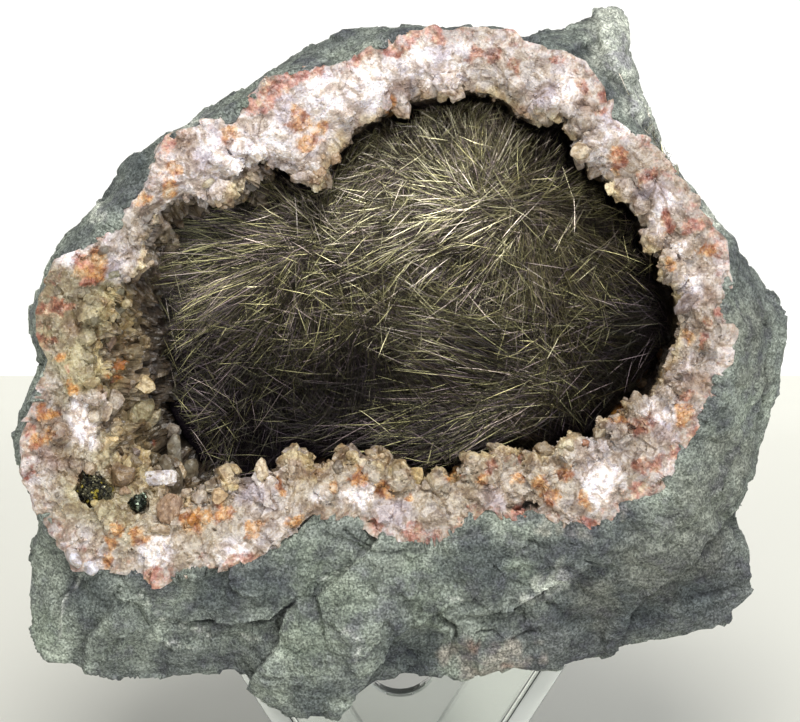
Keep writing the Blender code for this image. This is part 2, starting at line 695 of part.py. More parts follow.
def main():
    clear_scene()
    where, guides = new_collection("millerite_specimen"), new_collection("guides")
    display = bpy.data.objects.new("display", None)
    specimen = bpy.data.objects.new("specimen", None)
    for empty in (display, specimen):
        guides.objects.link(empty)
    specimen.parent = display
    specimen.rotation_euler = (-LEAN, 0, 0)
    bpy.context.view_layer.update()
    host_rock(where, specimen)
    crust = quartz_crust(where, specimen, guides)
    millerite_hair(where, specimen)
    for name in SULPHIDES:
        sulphide(name, where, specimen, guides, crust)
    stand(where, guides, display)
    centre_on_floor(display, [t for t in where.objects])


main()
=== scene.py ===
# Millerite hair in the quartz-lined hollow of a broken grey rock, on a clear acrylic stand.
import itertools
import math

import bmesh
import bpy
import numpy as np
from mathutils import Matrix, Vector
from mathutils.bvhtree import BVHTree


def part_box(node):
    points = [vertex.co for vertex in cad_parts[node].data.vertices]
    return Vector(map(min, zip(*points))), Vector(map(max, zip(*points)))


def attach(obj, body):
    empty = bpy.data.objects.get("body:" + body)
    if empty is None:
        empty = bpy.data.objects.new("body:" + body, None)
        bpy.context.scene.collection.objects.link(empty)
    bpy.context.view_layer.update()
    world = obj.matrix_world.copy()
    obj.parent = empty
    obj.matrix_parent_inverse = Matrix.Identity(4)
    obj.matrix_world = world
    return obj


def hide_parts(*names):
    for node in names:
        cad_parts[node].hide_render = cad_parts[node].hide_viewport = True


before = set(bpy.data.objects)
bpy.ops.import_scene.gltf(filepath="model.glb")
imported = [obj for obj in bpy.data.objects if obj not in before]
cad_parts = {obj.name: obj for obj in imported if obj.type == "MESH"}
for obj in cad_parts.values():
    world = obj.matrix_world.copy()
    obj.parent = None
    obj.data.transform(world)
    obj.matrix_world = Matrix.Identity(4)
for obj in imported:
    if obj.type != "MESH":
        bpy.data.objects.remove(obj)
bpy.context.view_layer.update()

# The specimen's own frame, in mm: x right, y back from the plane of the hollow's rim, z up. It leans back.
display = {
    "lean": 15,  # degrees
    "originHeight": 82.5,  # mm above the stand's underside
    "originDepth": 1,  # mm behind the base's front edge
    "eye": 500,  # mm from the rim to the camera, which looks straight into the hollow
    "lens": 150,  # mm, on a 36 mm sensor: 0.15 mm of rim for each pixel of 800
    "hub": (3.0, 7.7),  # (x, z) that the crust's ring runs round
    "hollowMiddle": (9.0, 14.0, 9.0),  # (x, y, z) that the hollow's walls look at
}
lean = math.radians(display["lean"])
baseLow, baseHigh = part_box("stand_base")
origin = np.array([
    (baseLow.x + baseHigh.x) / 2,
    baseLow.y + display["originDepth"] / 1000,
    baseLow.z + display["originHeight"] / 1000,
])


def toWorld(points):
    x, y, z = np.asarray(points, float).T
    turned = (x, y * math.cos(lean) + z * math.sin(lean), z * math.cos(lean) - y * math.sin(lean))
    return np.stack(turned, 1) / 1000 + origin


def toSpecimen(points):
    x, y, z = ((np.asarray(points, float) - origin) * 1000).T
    return np.stack((x, y * math.cos(lean) - z * math.sin(lean), y * math.sin(lean) + z * math.cos(lean)), 1)


def asSeen(points):  # (x, z) where the eye in front sees a point, on the rim's plane
    return points[:, [0, 2]] * display["eye"] / (display["eye"] + points[:, 1:2])


def treeOf(points, triangles):
    return BVHTree.FromPolygons([Vector(p) for p in points], [list(map(int, t)) for t in triangles])


def firstHit(tree, x, z):  # the point that the eye sees behind a place on the rim's plane, or None
    eye = Vector((0, -display["eye"], 0))
    return tree.ray_cast(eye, (Vector((x, 0, z)) - eye).normalized())[0]


def unit(vectors, least=0.0):  # least is added to every length where one may be nought
    return vectors / (np.linalg.norm(vectors, axis=-1, keepdims=True) + least)


def fromHub(points):  # directions on the rim's plane, away from the hub of the crust's ring
    hubX, hubZ = display["hub"]
    return unit(np.stack((points[:, 0] - hubX, np.zeros(len(points)), points[:, 2] - hubZ), 1))


# Colours and nodes

def linear(colour):  # sRGB hex to linear red, green and blue
    parts = np.array([colour >> 16 & 255, colour >> 8 & 255, colour & 255]) / 255
    return np.where(parts <= 0.04045, parts / 12.92, ((parts + 0.055) / 1.055) ** 2.4)


def rgba(colour):
    return (*linear(colour), 1)


def mixed(low, high, share):
    share = np.clip(share, 0, 1)[:, None]
    return linear(low) * (1 - share) + linear(high) * share


def blend(tint, colour, share):  # moves each point's colour towards another, in place
    tint += (colour - tint) * share[:, None]


def perMm(size):  # a texture's scale for a pattern of that many mm, because object coordinates are in metres
    return 1000 / size


def addNode(tree, kind, settings=None, inputs=None, stops=()):
    made = tree.nodes.new("ShaderNode" + kind)
    for name, value in (settings or {}).items():
        setattr(made, name, value)
    for name, value in (inputs or {}).items():
        if isinstance(value, bpy.types.NodeSocket):
            tree.links.new(value, made.inputs[name])
        else:
            made.inputs[name].default_value = value
    for place, colour in stops:
        ends = made.color_ramp.elements
        spot = ends[0] if place == 0 else ends[-1] if place == 1 else ends.new(place)
        spot.color = rgba(colour)
    return made


def noiseNode(tree, where, size, detail, roughness=0.5, warp=0.0):  # size in mm
    return addNode(tree, "TexNoise", inputs={"Vector": where, "Scale": perMm(size), "Detail": detail,
                                             "Roughness": roughness, "Distortion": warp}).outputs["Fac"]


def rampNode(tree, source, stops):
    return addNode(tree, "ValToRGB", inputs={"Fac": source}, stops=stops).outputs["Color"]


def layerNode(tree, name):  # one of the mesh's layers of colour
    return addNode(tree, "VertexColor", {"layer_name": name}).outputs["Color"]


def bumpNode(tree, height, strength, rise):  # rise in mm
    inputs = {"Height": height, "Strength": strength, "Distance": rise / 1000}
    return addNode(tree, "Bump", inputs=inputs).outputs[0]


def shaded(tree, colour, layers):  # multiplies a colour by each (source, share, stops of its ramp)
    for source, share, stops in layers:
        colour = addNode(tree, "Mix", {"data_type": "RGBA", "blend_type": "MULTIPLY"},
                         {0: share, 6: colour, 7: rampNode(tree, source, stops)}).outputs[2]
    return colour


def newMaterial(name):  # an empty material, its node tree and the object's coordinates
    made = bpy.data.materials.new(name)
    made.use_nodes = True
    made.node_tree.nodes.clear()
    return made, made.node_tree, addNode(made.node_tree, "TexCoord").outputs["Object"]


def finishMaterial(tree, inputs):
    shader = addNode(tree, "BsdfPrincipled", inputs=inputs)
    addNode(tree, "OutputMaterial", inputs={"Surface": shader.outputs[0]})


# Noise, for points in mm

def softNoise(points, size, seed):  # smooth, about as wide as size, from -1 to 1
    count = 32
    table = np.random.default_rng(seed).random((count,) * 3) * 2 - 1
    place = points / size
    low = np.floor(place).astype(int)
    part = place - low
    part = part * part * (3 - 2 * part)
    total = np.zeros(len(points))
    for corner in itertools.product((0, 1), repeat=3):
        weight = np.prod(np.where(corner, part, 1 - part), axis=1)
        i, j, k = ((low + corner) % count).T
        total += weight * table[i, j, k]
    return total


def facets(points, size, seed):  # flat tilted patches: each point's height and its patch's level, -1 to 1
    count = 16
    rng = np.random.default_rng(seed)
    jitter, tilt, level = (rng.random((count,) * 3 + (k,)) for k in (3, 3, 1))
    place = points / size
    low = np.floor(place).astype(int)
    nearest = np.full(len(points), 9.0)
    height, patch = np.zeros(len(points)), np.zeros(len(points))
    for corner in itertools.product((-1, 0, 1), repeat=3):
        cell = low + corner
        i, j, k = (cell % count).T
        away = place - cell - jitter[i, j, k]
        apart = (away**2).sum(1)
        nearer = apart < nearest
        nearest = np.where(nearer, apart, nearest)
        height = np.where(nearer, (away * (tilt[i, j, k] * 2 - 1)).sum(1), height)
        patch = np.where(nearer, level[i, j, k, 0] * 2 - 1, patch)
    return height, patch


def brokenFace(points, layers, seed):  # height of a broken face, from (width, tilt, step) for each facet size
    total = np.zeros(len(points))
    bent = points + 0.22 * softNoise(points, 2.2, seed)[:, None]
    for k, (width, rise, step) in enumerate(layers):
        height, level = facets(bent, width, seed + 1 + k)
        total += rise * height + step * level
    return total


def ease(share):
    share = np.clip(share, 0, 1)
    return (3 - 2 * share) * share**2


def warpedSeen(points, coarse=1.2, fine=0.5):  # places as seen, moved by noise, so that patches are ragged
    seen = asSeen(points)
    for k in range(2):
        seen[:, k] += coarse * softNoise(points, 3.2, 74 + k) + fine * softNoise(points, 1.1, 76 + k)
    return seen


def spotShare(seen, spots):  # how much of a patch lies at each place, from its (x, z, radius) spots
    share = np.zeros(len(seen))
    for x, z, radius in spots:
        share = np.maximum(share, ease(1.5 - np.hypot(seen[:, 0] - x, seen[:, 1] - z) / radius))
    return share


def layPatches(tint, seen, patches):  # {colour: (strength, spots)}
    for colour, (strength, spots) in patches.items():
        blend(tint, linear(colour), strength * spotShare(seen, spots))


def toLine(seen, line):  # each place's distance from a line of points, and which side of it, 1 on the left
    nearest, side = np.full(len(seen), 1e9), np.ones(len(seen))
    for a, b in zip(np.array(line[:-1], float), np.array(line[1:], float)):
        run = b - a
        along = np.clip(((seen - a) @ run) / (run @ run), 0, 1)
        apart = np.linalg.norm(seen - a - along[:, None] * run, axis=1)
        cross = run[0] * (seen[:, 1] - a[1]) - run[1] * (seen[:, 0] - a[0])
        side = np.where(apart < nearest, np.sign(cross), side)
        nearest = np.minimum(nearest, apart)
    return nearest, side


def onLine(seen, line, width):  # 1 on a line, fading to 0 over about twice the width
    return np.exp(-((toLine(seen, line)[0] / width) ** 2))


# Meshes

def nodeMesh(name):
    bm = bmesh.new()
    bm.from_mesh(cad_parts[name].data)
    bmesh.ops.remove_doubles(bm, verts=bm.verts, dist=1e-6)
    return bm


def directions(normals):  # from the world's axes to the specimen's
    return toSpecimen(np.array(normals) / 1000 + origin)


def refine(bm, limitOf, passes):  # splits edges until none is longer than limitOf(middle, normal) says
    for _ in range(passes):
        bm.normal_update()
        bm.verts.index_update()
        bm.edges.ensure_lookup_table()
        points = toSpecimen([v.co for v in bm.verts])
        normals = directions([v.normal for v in bm.verts])
        ends = np.array([[v.index for v in e.verts] for e in bm.edges])
        a, b = points[ends[:, 0]], points[ends[:, 1]]
        facing = unit(normals[ends[:, 0]] + normals[ends[:, 1]], 1e-9)
        long = np.linalg.norm(a - b, axis=1) > limitOf((a + b) / 2, facing)
        if not long.any():
            break
        bmesh.ops.subdivide_edges(bm, edges=[bm.edges[i] for i in np.nonzero(long)[0]], cuts=1)
        bmesh.ops.triangulate(bm, faces=[f for f in bm.faces if len(f.verts) > 3])


def arraysOf(bm):  # points and normals in the specimen's frame, triangles and edges; frees the mesh
    bmesh.ops.triangulate(bm, faces=[f for f in bm.faces if len(f.verts) > 3])
    bm.normal_update()
    bm.verts.index_update()
    points, normals = toSpecimen([v.co for v in bm.verts]), directions([v.normal for v in bm.verts])
    triangles = np.array([[v.index for v in f.verts] for f in bm.faces])
    edges = np.array([[v.index for v in e.verts] for e in bm.edges])
    bm.free()
    return points, normals, triangles, edges


def relax(points, edges, rounds, share):  # moves each point towards the mean of its neighbours
    ends = np.concatenate((edges, edges[:, ::-1]))
    count = np.bincount(ends[:, 0], minlength=len(points))[:, None]
    for _ in range(rounds):
        total = np.stack([np.bincount(ends[:, 0], points[ends[:, 1], k], len(points)) for k in range(3)], 1)
        points = points + (total / count - points) * np.reshape(share, (-1, 1))
    return points


def vertexNormals(points, triangles):
    a, b, c = (points[triangles[:, k]] for k in range(3))
    flat = np.cross(b - a, c - a)
    total = np.zeros_like(points)
    for k, axis in itertools.product(range(3), repeat=2):
        total[:, axis] += np.bincount(triangles[:, k], flat[:, axis], len(points))
    return unit(total, 1e-12)


def inHollow(points, normals):  # true on walls that face the middle of the hollow
    return ((np.array(display["hollowMiddle"]) - points) * normals).sum(1) > 0


def newObject(name, data):
    made = bpy.data.objects.new(name, data)
    bpy.context.scene.collection.objects.link(made)
    return made


def placePiece(name, mesh, node=None):  # a piece on the body, in a CAD node's place where one is named
    piece = newObject(name, mesh)
    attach(piece, "root")
    if node:
        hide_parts(node)


# A piece from its points in mm, with layers of colour for each point
def addPiece(name, points, triangles, material, layers=None, smooth=False, node=None):
    mesh = bpy.data.meshes.new(name)
    mesh.vertices.add(len(points))
    mesh.vertices.foreach_set("co", toWorld(points).astype(np.float32).ravel())
    mesh.loops.add(triangles.size)
    mesh.loops.foreach_set("vertex_index", triangles.astype(np.int32).ravel())
    mesh.polygons.add(len(triangles))
    mesh.polygons.foreach_set("loop_start", np.arange(0, triangles.size, 3, dtype=np.int32))
    mesh.polygons.foreach_set("use_smooth", np.full(len(triangles), smooth))
    mesh.update(calc_edges=True)
    for layer, values in (layers or {}).items():
        colours = np.ones((len(points), 4), np.float32)
        colours[:, :3] = values
        mesh.color_attributes.new(layer, "FLOAT_COLOR", "POINT").data.foreach_set("color", colours.ravel())
    mesh.materials.append(material)
    print(name, len(triangles), "triangles")
    placePiece(name, mesh, node)


# Host rock: a dark grey-green carbonate rock, broken by hammer
rock = {
    "frontEdge": 0.78, "backEdge": 1.6, "hollowEdge": 5,  # mm, the mesh's longest edge
    "lineEdge": 0.3,  # mm, the same beside cracks and scratches
    "facets": [(9.0, 0.85, 0.3), (4.0, 0.42, 0.16), (1.7, 0.16, 0.07)],  # (width, tilt, step), mm
    "speckle": 0.28, "grain": 0.36,  # mm: real grains are about 0.1 mm, too fine for a pixel of 0.15 mm
    "mottle": 4.0, "streak": 1.0,  # mm
    "stone": (0x7E8384, 0xBCC3BA), "scratch": 0xF0F2EC,
    "lift": 1.5,  # what the speckle takes from the rock's colours
    "tones": (0.5, 1.4),  # the darkest and palest that the ledges' painted shade and highlight make the rock
    "overlap": 0.8,  # mm that the rock's rim may reach over the crust
    "bandsFrom": 20, "bandWidth": 4.2, "bandRise": 0.2,  # mm: the bedding's low steps on the right
    "patchEdge": (0.15, 0.35),  # how far back a face may look and still have patches, and their fade
    "crackDepth": 0.8, "crackShade": 0.5,  # how much of the listed depth cracks have, and how much painted shade darkens them
    # How much higher ledges stand than listed, and (by how much paler or darker, fade in mm) for the painted
    # highlight above each ledge and the painted shade below it
    "rise": 1.3, "brink": (0.28, 0.6), "foot": (0.36, 1.2),
    # Steps in the broken face, up on the left of each line: (rise, fade, points), mm
    "ledges": [
        (1.5, 7, [(-4.2, -27.6), (-9.6, -33.3), (-17.3, -37.7), (-18.3, -42.2), (-22.5, -48.3)]),
        (1.2, 6, [(-9.9, -53.3), (-5, -47.9), (-1.4, -40.7), (3, -38.7)]),
        (1.1, 4, [(-31.1, -38.9), (-23.7, -39), (-20, -38.6), (-18.8, -37.7)]),
        (0.8, 6, [(-42.5, -35.7), (-43.7, -38.7), (-46.7, -41.4), (-47.1, -43.7)]),
        (1.0, 5, [(21.5, -27.8), (16.5, -25.8), (12.6, -25.4), (8, -26.6)]),
        (1.0, 4, [(21.5, -28.2), (16.5, -29), (14.1, -29.9), (13.4, -31.2)]),
        (1.3, 4, [(14.6, -37.4), (16.8, -37.2), (21.5, -33.6), (24.5, -32.4), (28, -31)]),
        (1.0, 5, [(7.7, -42.8), (8.3, -40.8), (7.7, -39.6), (5, -37.8), (1.2, -36.6)]),
        (0.8, 5, [(33, -42), (37, -35), (44, -30), (50, -22)]),
        (0.7, 5, [(56, -33), (50, -34.5), (44, -36)]),
        (0.9, 6, [(29, 53), (30, 47.5), (33.5, 42), (36, 36), (40, 31)]),
        (0.7, 4, [(21, 47), (24, 46), (28, 47.5)]),
        (0.6, 4, [(-24, 37), (-17, 42), (-10, 46)]),
    ],
    "cracks": [  # (depth, width, points), mm
        (0.35, 0.2, [(-8.4, -25.5), (-4.5, -28.4), (-1.5, -28.9), (1.8, -28.1), (4.5, -27.4)]),
        (0.6, 0.25, [(-31.1, -39.2), (-23.7, -39.3), (-20, -38.9)]),
        (0.8, 0.3, [(14.6, -37.7), (16.8, -37.5), (21.5, -33.9)]),
        (0.7, 0.3, [(1.2, -36.9), (5, -38.1), (7.9, -39.8), (8.5, -41)]),
        (0.5, 0.22, [(11.5, -40.8), (13.8, -40.4), (15, -41.3)]),
        (0.5, 0.22, [(17, -41.8), (20, -40.6)]),
        (0.7, 0.4, [(55, -1), (54.8, -4), (54.2, -8)]),
        (0.5, 0.25, [(-18.5, -39), (-18, -41)]),
    ],
    "scratches": [  # pale, from the blade or hammer: (width, points), mm
        (0.42, [(-38.7, -34.5), (-35.6, -38.4)]), (0.5, [(-32.6, -39.5), (-28.6, -41.4)]),
        (0.25, [(-34.5, -42.1), (-31, -43.2)]), (0.3, [(-23.4, -41.4), (-21.3, -41.4)]),
        (0.3, [(-7.7, -40.5), (-6.2, -41.8), (-6.6, -44.2)]), (0.25, [(-11.5, -33), (-7.5, -31)]),
        (0.2, [(-47.5, -31.5), (-50.5, -36), (-51.5, -42)]), (0.2, [(6.5, -35.3), (9.5, -35.5)]),
    ],
}
rockTonesAndPaintedLight = {
    0x72747A: (0.75, [(30, -40, 7), (40, -36, 7), (50, -36, 6), (22, -44, 6), (46, -30, 5)]),
    # Darker grey: painted shade in recesses under overhangs and on the pinnacle's shaded facet, and darker
    # spots elsewhere
    0x60676C: (0.7, [(-46, -36, 4), (-28, -34.5, 4), (-20, -34, 3.5), (12, -29, 4), (8, -31, 3),
                     (22, 46.5, 3), (26, 46.5, 2.4), (0.5, -43, 3), (3, -46, 3.5), (-40, 30, 2.5),
                     (5, -43, 3), (36, -37, 4), (44, -34, 4), (-12.5, -50, 3), (26, -38, 3)]),
    0x98A294: (0.5, [(-14, -31, 4), (-8, -36, 4), (-22, 37.5, 3), (-14, -42, 4), (-50, 22, 3), (4, -37, 3),
                      (18, -31, 2.4), (2.5, -31, 3), (-54, -40, 2.5)]),
    0x9A9A90: (0.5, [(43, -27, 6), (50, -14, 4), (46, -20, 5), (51, 5, 4), (37, -31, 5), (30, -36, 4),
                     (54, -2, 3)]),
    # Near white: a painted highlight along the pinnacle's lit facet, and small pale spots elsewhere
    0xF2F4EC: (0.9, [(32, 50, 3.4), (34, 45, 3.6), (36.5, 39, 3.4), (39.5, 33, 3), (43.5, 27.5, 2.6),
                     (47, 22, 2), (31, 46.5, 2), (-31, 35.6, 1.3), (-46, 22.6, 1.5), (48, 20, 1.6),
                     (33.5, 47.5, 2.6), (21, -33.8, 1.6), (24, -32.8, 1.4), (18.5, -35.5, 1.3)]),
    0xC9BFB8: (0.8, [(8, -43.5, 1.4), (11, -43.5, 1.5), (14.6, -44, 1.5), (16.6, -42.6, 1.3),
                     (10.8, -46.5, 1.8), (14.2, -46.8, 1.6), (17.6, -45, 1.4), (20.5, -43.4, 0.9)]),
    0xA97F72: (0.6, [(11.5, -42.9, 0.9), (16.2, -45.6, 0.8), (19, -46.6, 0.7)]),
    0xCFCBC2: (0.7, [(25, -24.5, 1.0), (27.5, -25.6, 1.0), (22, -24.2, 0.8), (34, -22.5, 0.9),
                     (-38, -31.8, 0.9)]),
}


def rockLimit(middles, normals):
    front = normals[:, 1] < 0.2
    limit = np.where(front, rock["frontEdge"], rock["backEdge"])
    seen = asSeen(middles)
    for *_, line in rock["cracks"] + rock["scratches"]:
        limit[front & (toLine(seen, line)[0] < 0.7)] = rock["lineEdge"]
    return np.where(inHollow(middles, normals) & (middles[:, 1] > 1), rock["hollowEdge"], limit)


# A broken fine-grained rock is matt: pale and dark grains speckle it, and its layers show as faint streaks
def rockMaterial():
    made, tree, where = newMaterial("Broken grey-green carbonate rock")
    speckle = addNode(tree, "TexVoronoi", inputs={"Vector": where, "Scale": perMm(rock["speckle"])})
    grain = noiseNode(tree, where, rock["grain"], 4.0, 0.7)
    mottle = noiseNode(tree, where, rock["mottle"], 5.0, 0.6)
    laid = addNode(tree, "Mapping", inputs={"Vector": where, "Rotation": (0, math.radians(42), 0),
                                            "Scale": (0.2, 0.5, 1.0)})
    streak = noiseNode(tree, laid.outputs[0], rock["streak"], 3.0)
    layers = [
        (speckle.outputs["Color"], 0.66,
         [(0, 0x4A4E4A), (0.32, 0x8E9290), (0.5, 0xCED0CC), (0.66, 0xFFFFFF), (1, 0xFFFFFF)]),
        (grain, 0.7, [(0, 0x50505A), (0.36, 0x8C8C92), (0.5, 0xCED2CC), (0.62, 0xFFFFFF), (1, 0xFFFFFF)]),
        (mottle, 0.8, [(0, 0x9C98A8), (0.36, 0xB2AEBC), (0.5, 0xDCDEDA), (0.62, 0xFFFFFA), (1, 0xFFFFFA)]),
        (streak, 0.5, [(0, 0x808080), (0.38, 0xB0B0B0), (0.56, 0xFFFFFF), (1, 0xFFFFFF)]),
    ]
    raised = addNode(tree, "Math", inputs={0: grain, 1: streak}).outputs[0]
    finishMaterial(tree, {
        "Base Color": shaded(tree, layerNode(tree, "tint"), layers), "Roughness": 0.85,
        "Specular IOR Level": 0.3, "Normal": bumpNode(tree, raised, 0.9, 0.5)})
    return made


def makeRock():
    bm = nodeMesh("host_rock")
    refine(bm, rockLimit, 7)
    points, normals, triangles, edges = arraysOf(bm)
    hidden = inHollow(points, normals) & (points[:, 1] > 1)
    points = relax(points, edges, 4, np.where(hidden, 0.0, 0.5))
    normals = vertexNormals(points, triangles)
    seen, front = warpedSeen(points, 0.45, 0.2), normals[:, 1] < 0.35
    height = 0.4 * softNoise(points, 9, 21) + 0.1 * softNoise(points, 1.6, 22)
    height += brokenFace(points, rock["facets"], 30)
    bands = (points[:, 2] + 0.5 * points[:, 0] + 2.2 * softNoise(points, 11, 26)) / rock["bandWidth"]
    banded = points[:, 0] > rock["bandsFrom"]
    height += rock["bandRise"] * (ease(4 * (bands - np.floor(bands))) - 0.5) * banded
    # Painted highlight along each ledge's top and painted shade at its foot
    tone = np.ones(len(points))
    (paler, near), (darker, far) = rock["brink"], rock["foot"]
    for rise, fade, line in rock["ledges"]:
        apart, side = toLine(seen, line)
        step = np.exp(-apart / fade) * ease(0.5 + side * apart / 0.5) - 0.35 * np.exp(-apart / 3)
        height += rock["rise"] * rise * step * front
        tone += np.where(side > 0, paler * np.exp(-apart / near), -darker * np.exp(-apart / far)) * front
    # Cracks are cut in, and painted shade darkens them
    cut = np.zeros(len(points))
    for depth, width, line in rock["cracks"]:
        cracked = onLine(seen, line, width) * front
        height -= rock["crackDepth"] * depth * cracked
        cut = np.maximum(cut, cracked)
    rim = inHollow(points, normals) & ~hidden
    ragged = 0.7 + softNoise(points, 2.6, 28) + 0.4 * softNoise(points, 1.0, 29)
    reach = rock["overlap"] * ragged.clip(0.25) * rim
    points = points + normals * (height * ~hidden)[:, None] - fromHub(points) * reach[:, None]
    tint = mixed(*rock["stone"], 0.5 + 0.6 * softNoise(points, 8, 23) + 0.4 * softNoise(points, 2.6, 24))
    plain = tint.copy()
    layPatches(tint, warpedSeen(points, 1.6, 0.7), rockTonesAndPaintedLight)
    furthest, fade = rock["patchEdge"]
    tint = plain + (tint - plain) * ease((furthest - normals[:, 1]) / fade)[:, None]
    for width, line in rock["scratches"]:
        scratched = onLine(seen, line, width) * front * (0.5 + softNoise(points, 0.8, 27))
        blend(tint, linear(rock["scratch"]), np.clip(1.5 * scratched, 0, 0.95))
    # The ledges' painted highlight and shade and the cracks' painted shade go into the colour
    tint *= rock["lift"] * (tone.clip(*rock["tones"]) * (1 - rock["crackShade"] * cut))[:, None]
    addPiece("hostRock", points, triangles, rockMaterial(), {"tint": tint}, node="host_rock")


makeRock()
print("host rock done")


# Quartz crust: massive to drusy quartz, grown from the hollow's wall and broken across
crust = {
    "frontEdge": 0.54, "wallEdge": 0.76, "hiddenEdge": 6, "slitEdge": 0.16,  # mm, the mesh's longest edge
    "facets": [(3.6, 0.5, 0.35), (1.6, 0.3, 0.2), (0.8, 0.09, 0.06)],  # (width, tilt, step), mm
    "sugar": 0.3,  # mm, the grains of the broken face
    "blocks": [(2.8, 1.7, 0.9), (1.3, 0.7, 0.4)],  # the same, for the crystals on the hollow's left wall
    "slit": (1.6, 0.34),  # mm, its depth and width
    "overlap": 0.9,  # mm that the crust's outer edge may reach over the rock
    # Colours: the broken face, the lip of the mouth, the hollow's wall, browner by its own staining and
    # darker by painted shade, and the painted shade deep in the hollow
    "face": (0xB4ABA2, 0xDAD2D0), "lip": (0x8E6C3E, 0xD8C898), "wall": (0x6E5C40, 0xBCA678), "deep": 0x241E1E,
    # Scattered stones: (count, smallest and largest radius in mm, whether they are crystals with a point)
    "quartzKnobs": (240, (0.45, 1.8), False), "wallKnobs": (60, (0.7, 1.8), False),
    "quartzPoints": (420, (0.35, 1.1), True), "clearQuartz": (60, (0.45, 1.3), True),
    "largeFrom": 1.05,  # mm, the radius from which a stone is cut from a finer ball
    "sugarGrains": (2200, (0.16, 0.4)),  # count, smallest and largest radius in mm
    "seed": 5,
}
# Broad zones of the broken face, as {colour: (strength, [(x, z, radius), ...])}, mm as seen
crustZones = {
    0xB0A294: (0.7, [(38, 27, 6), (43, 18, 6), (45, 8, 6), (43, -2, 5), (38, -10, 5), (12, -21, 5)]),
    0x877D58: (0.8, [(-50, 12, 6), (-51, 6, 5), (-47, 10, 5), (-50, -1, 4)]),
    0xB4AA84: (0.8, [(-42, -14, 8), (-45, -20, 7), (-48, 2, 5), (-46, -2, 5), (-41, -22, 6), (-44, 8, 4)]),
    0xC0B5A2: (0.7, [(-30, -23, 7), (-36, -27, 6), (-12, -18, 6), (0, -19, 6), (10, -18, 6), (20, -17, 6)]),
    0xE2DADA: (0.8, [(-24, 31, 7), (-14, 37, 6), (-30, 28, 5), (-5, 41, 6), (4, 43, 6), (-46, -9, 3),
                     (-49, 18, 3)]),
}
crustPatchesAndCreviceShade = {
    0xFFFBFE: (0.9, [(30.5, -18.7, 2.6), (-6, -20.5, 2.2), (-25.2, -28.8, 2.2), (-4.5, 40.7, 3.4),
                     (-10.5, 39.9, 3.4), (-25.5, 30.9, 3.6), (-46.5, -8, 3), (-46.5, -11.1, 2),
                     (-37.2, -29, 2.6), (3, 45, 2.6), (33, 35, 2.2), (40, 22.5, 2.4), (44, 12, 1.8),
                     (-48, 17.5, 2.0), (-44.5, 19.5, 1.6), (25, 40.5, 2.2), (9, 44.5, 2.4), (43.5, -1, 1.6),
                     (38.5, -8, 2.2), (-19.5, 33, 3), (42, 17.5, 1.6), (-12, -20, 1.6)]),
    0xB4A8B8: (0.5, [(37.9, 25.4, 1.8), (-0.9, -23, 2.6), (39, -10.5, 2.2), (-22.8, -20.2, 2.2), (6, 46, 2.0),
                      (21.7, 39.9, 2.0), (43.5, 9.2, 1.6), (-30, 29.5, 1.6), (-43.5, 14.5, 1.6),
                      (-52, -14.5, 1.4), (14, -20.5, 1.8), (31.5, 36.5, 1.4), (-17, 38, 1.6),
                      (18, 37.5, 1.5)]),
    0x8A6E58: (0.7, [(-32.4, 32.4, 2.2), (0.6, 40.5, 1.7), (-1.2, 39.6, 1.4), (46.8, 10.4, 1.5),
                     (44.2, -2.7, 2), (-12.2, -23.2, 1.7), (-51.7, -14.3, 2.4), (-50.1, -10.9, 1.6),
                     (-49.3, 4.8, 1.8), (-13, -15.4, 2.0), (-52.5, -9, 1.6), (28.5, 38.5, 1.3),
                     (-42.8, -16.5, 1.6), (-48, -17, 1.8)]),
    # Dark brown spots: painted shade in the crevices between lumps on the left
    0x3A2E28: (0.9, [(-43.9, -3.6, 0.8), (-43.6, -5.6, 0.8), (-43.9, -1.8, 0.6), (-42.6, -13.2, 0.7),
                     (-43.7, -14.3, 0.6), (-41.2, -11.6, 0.6)]),
}
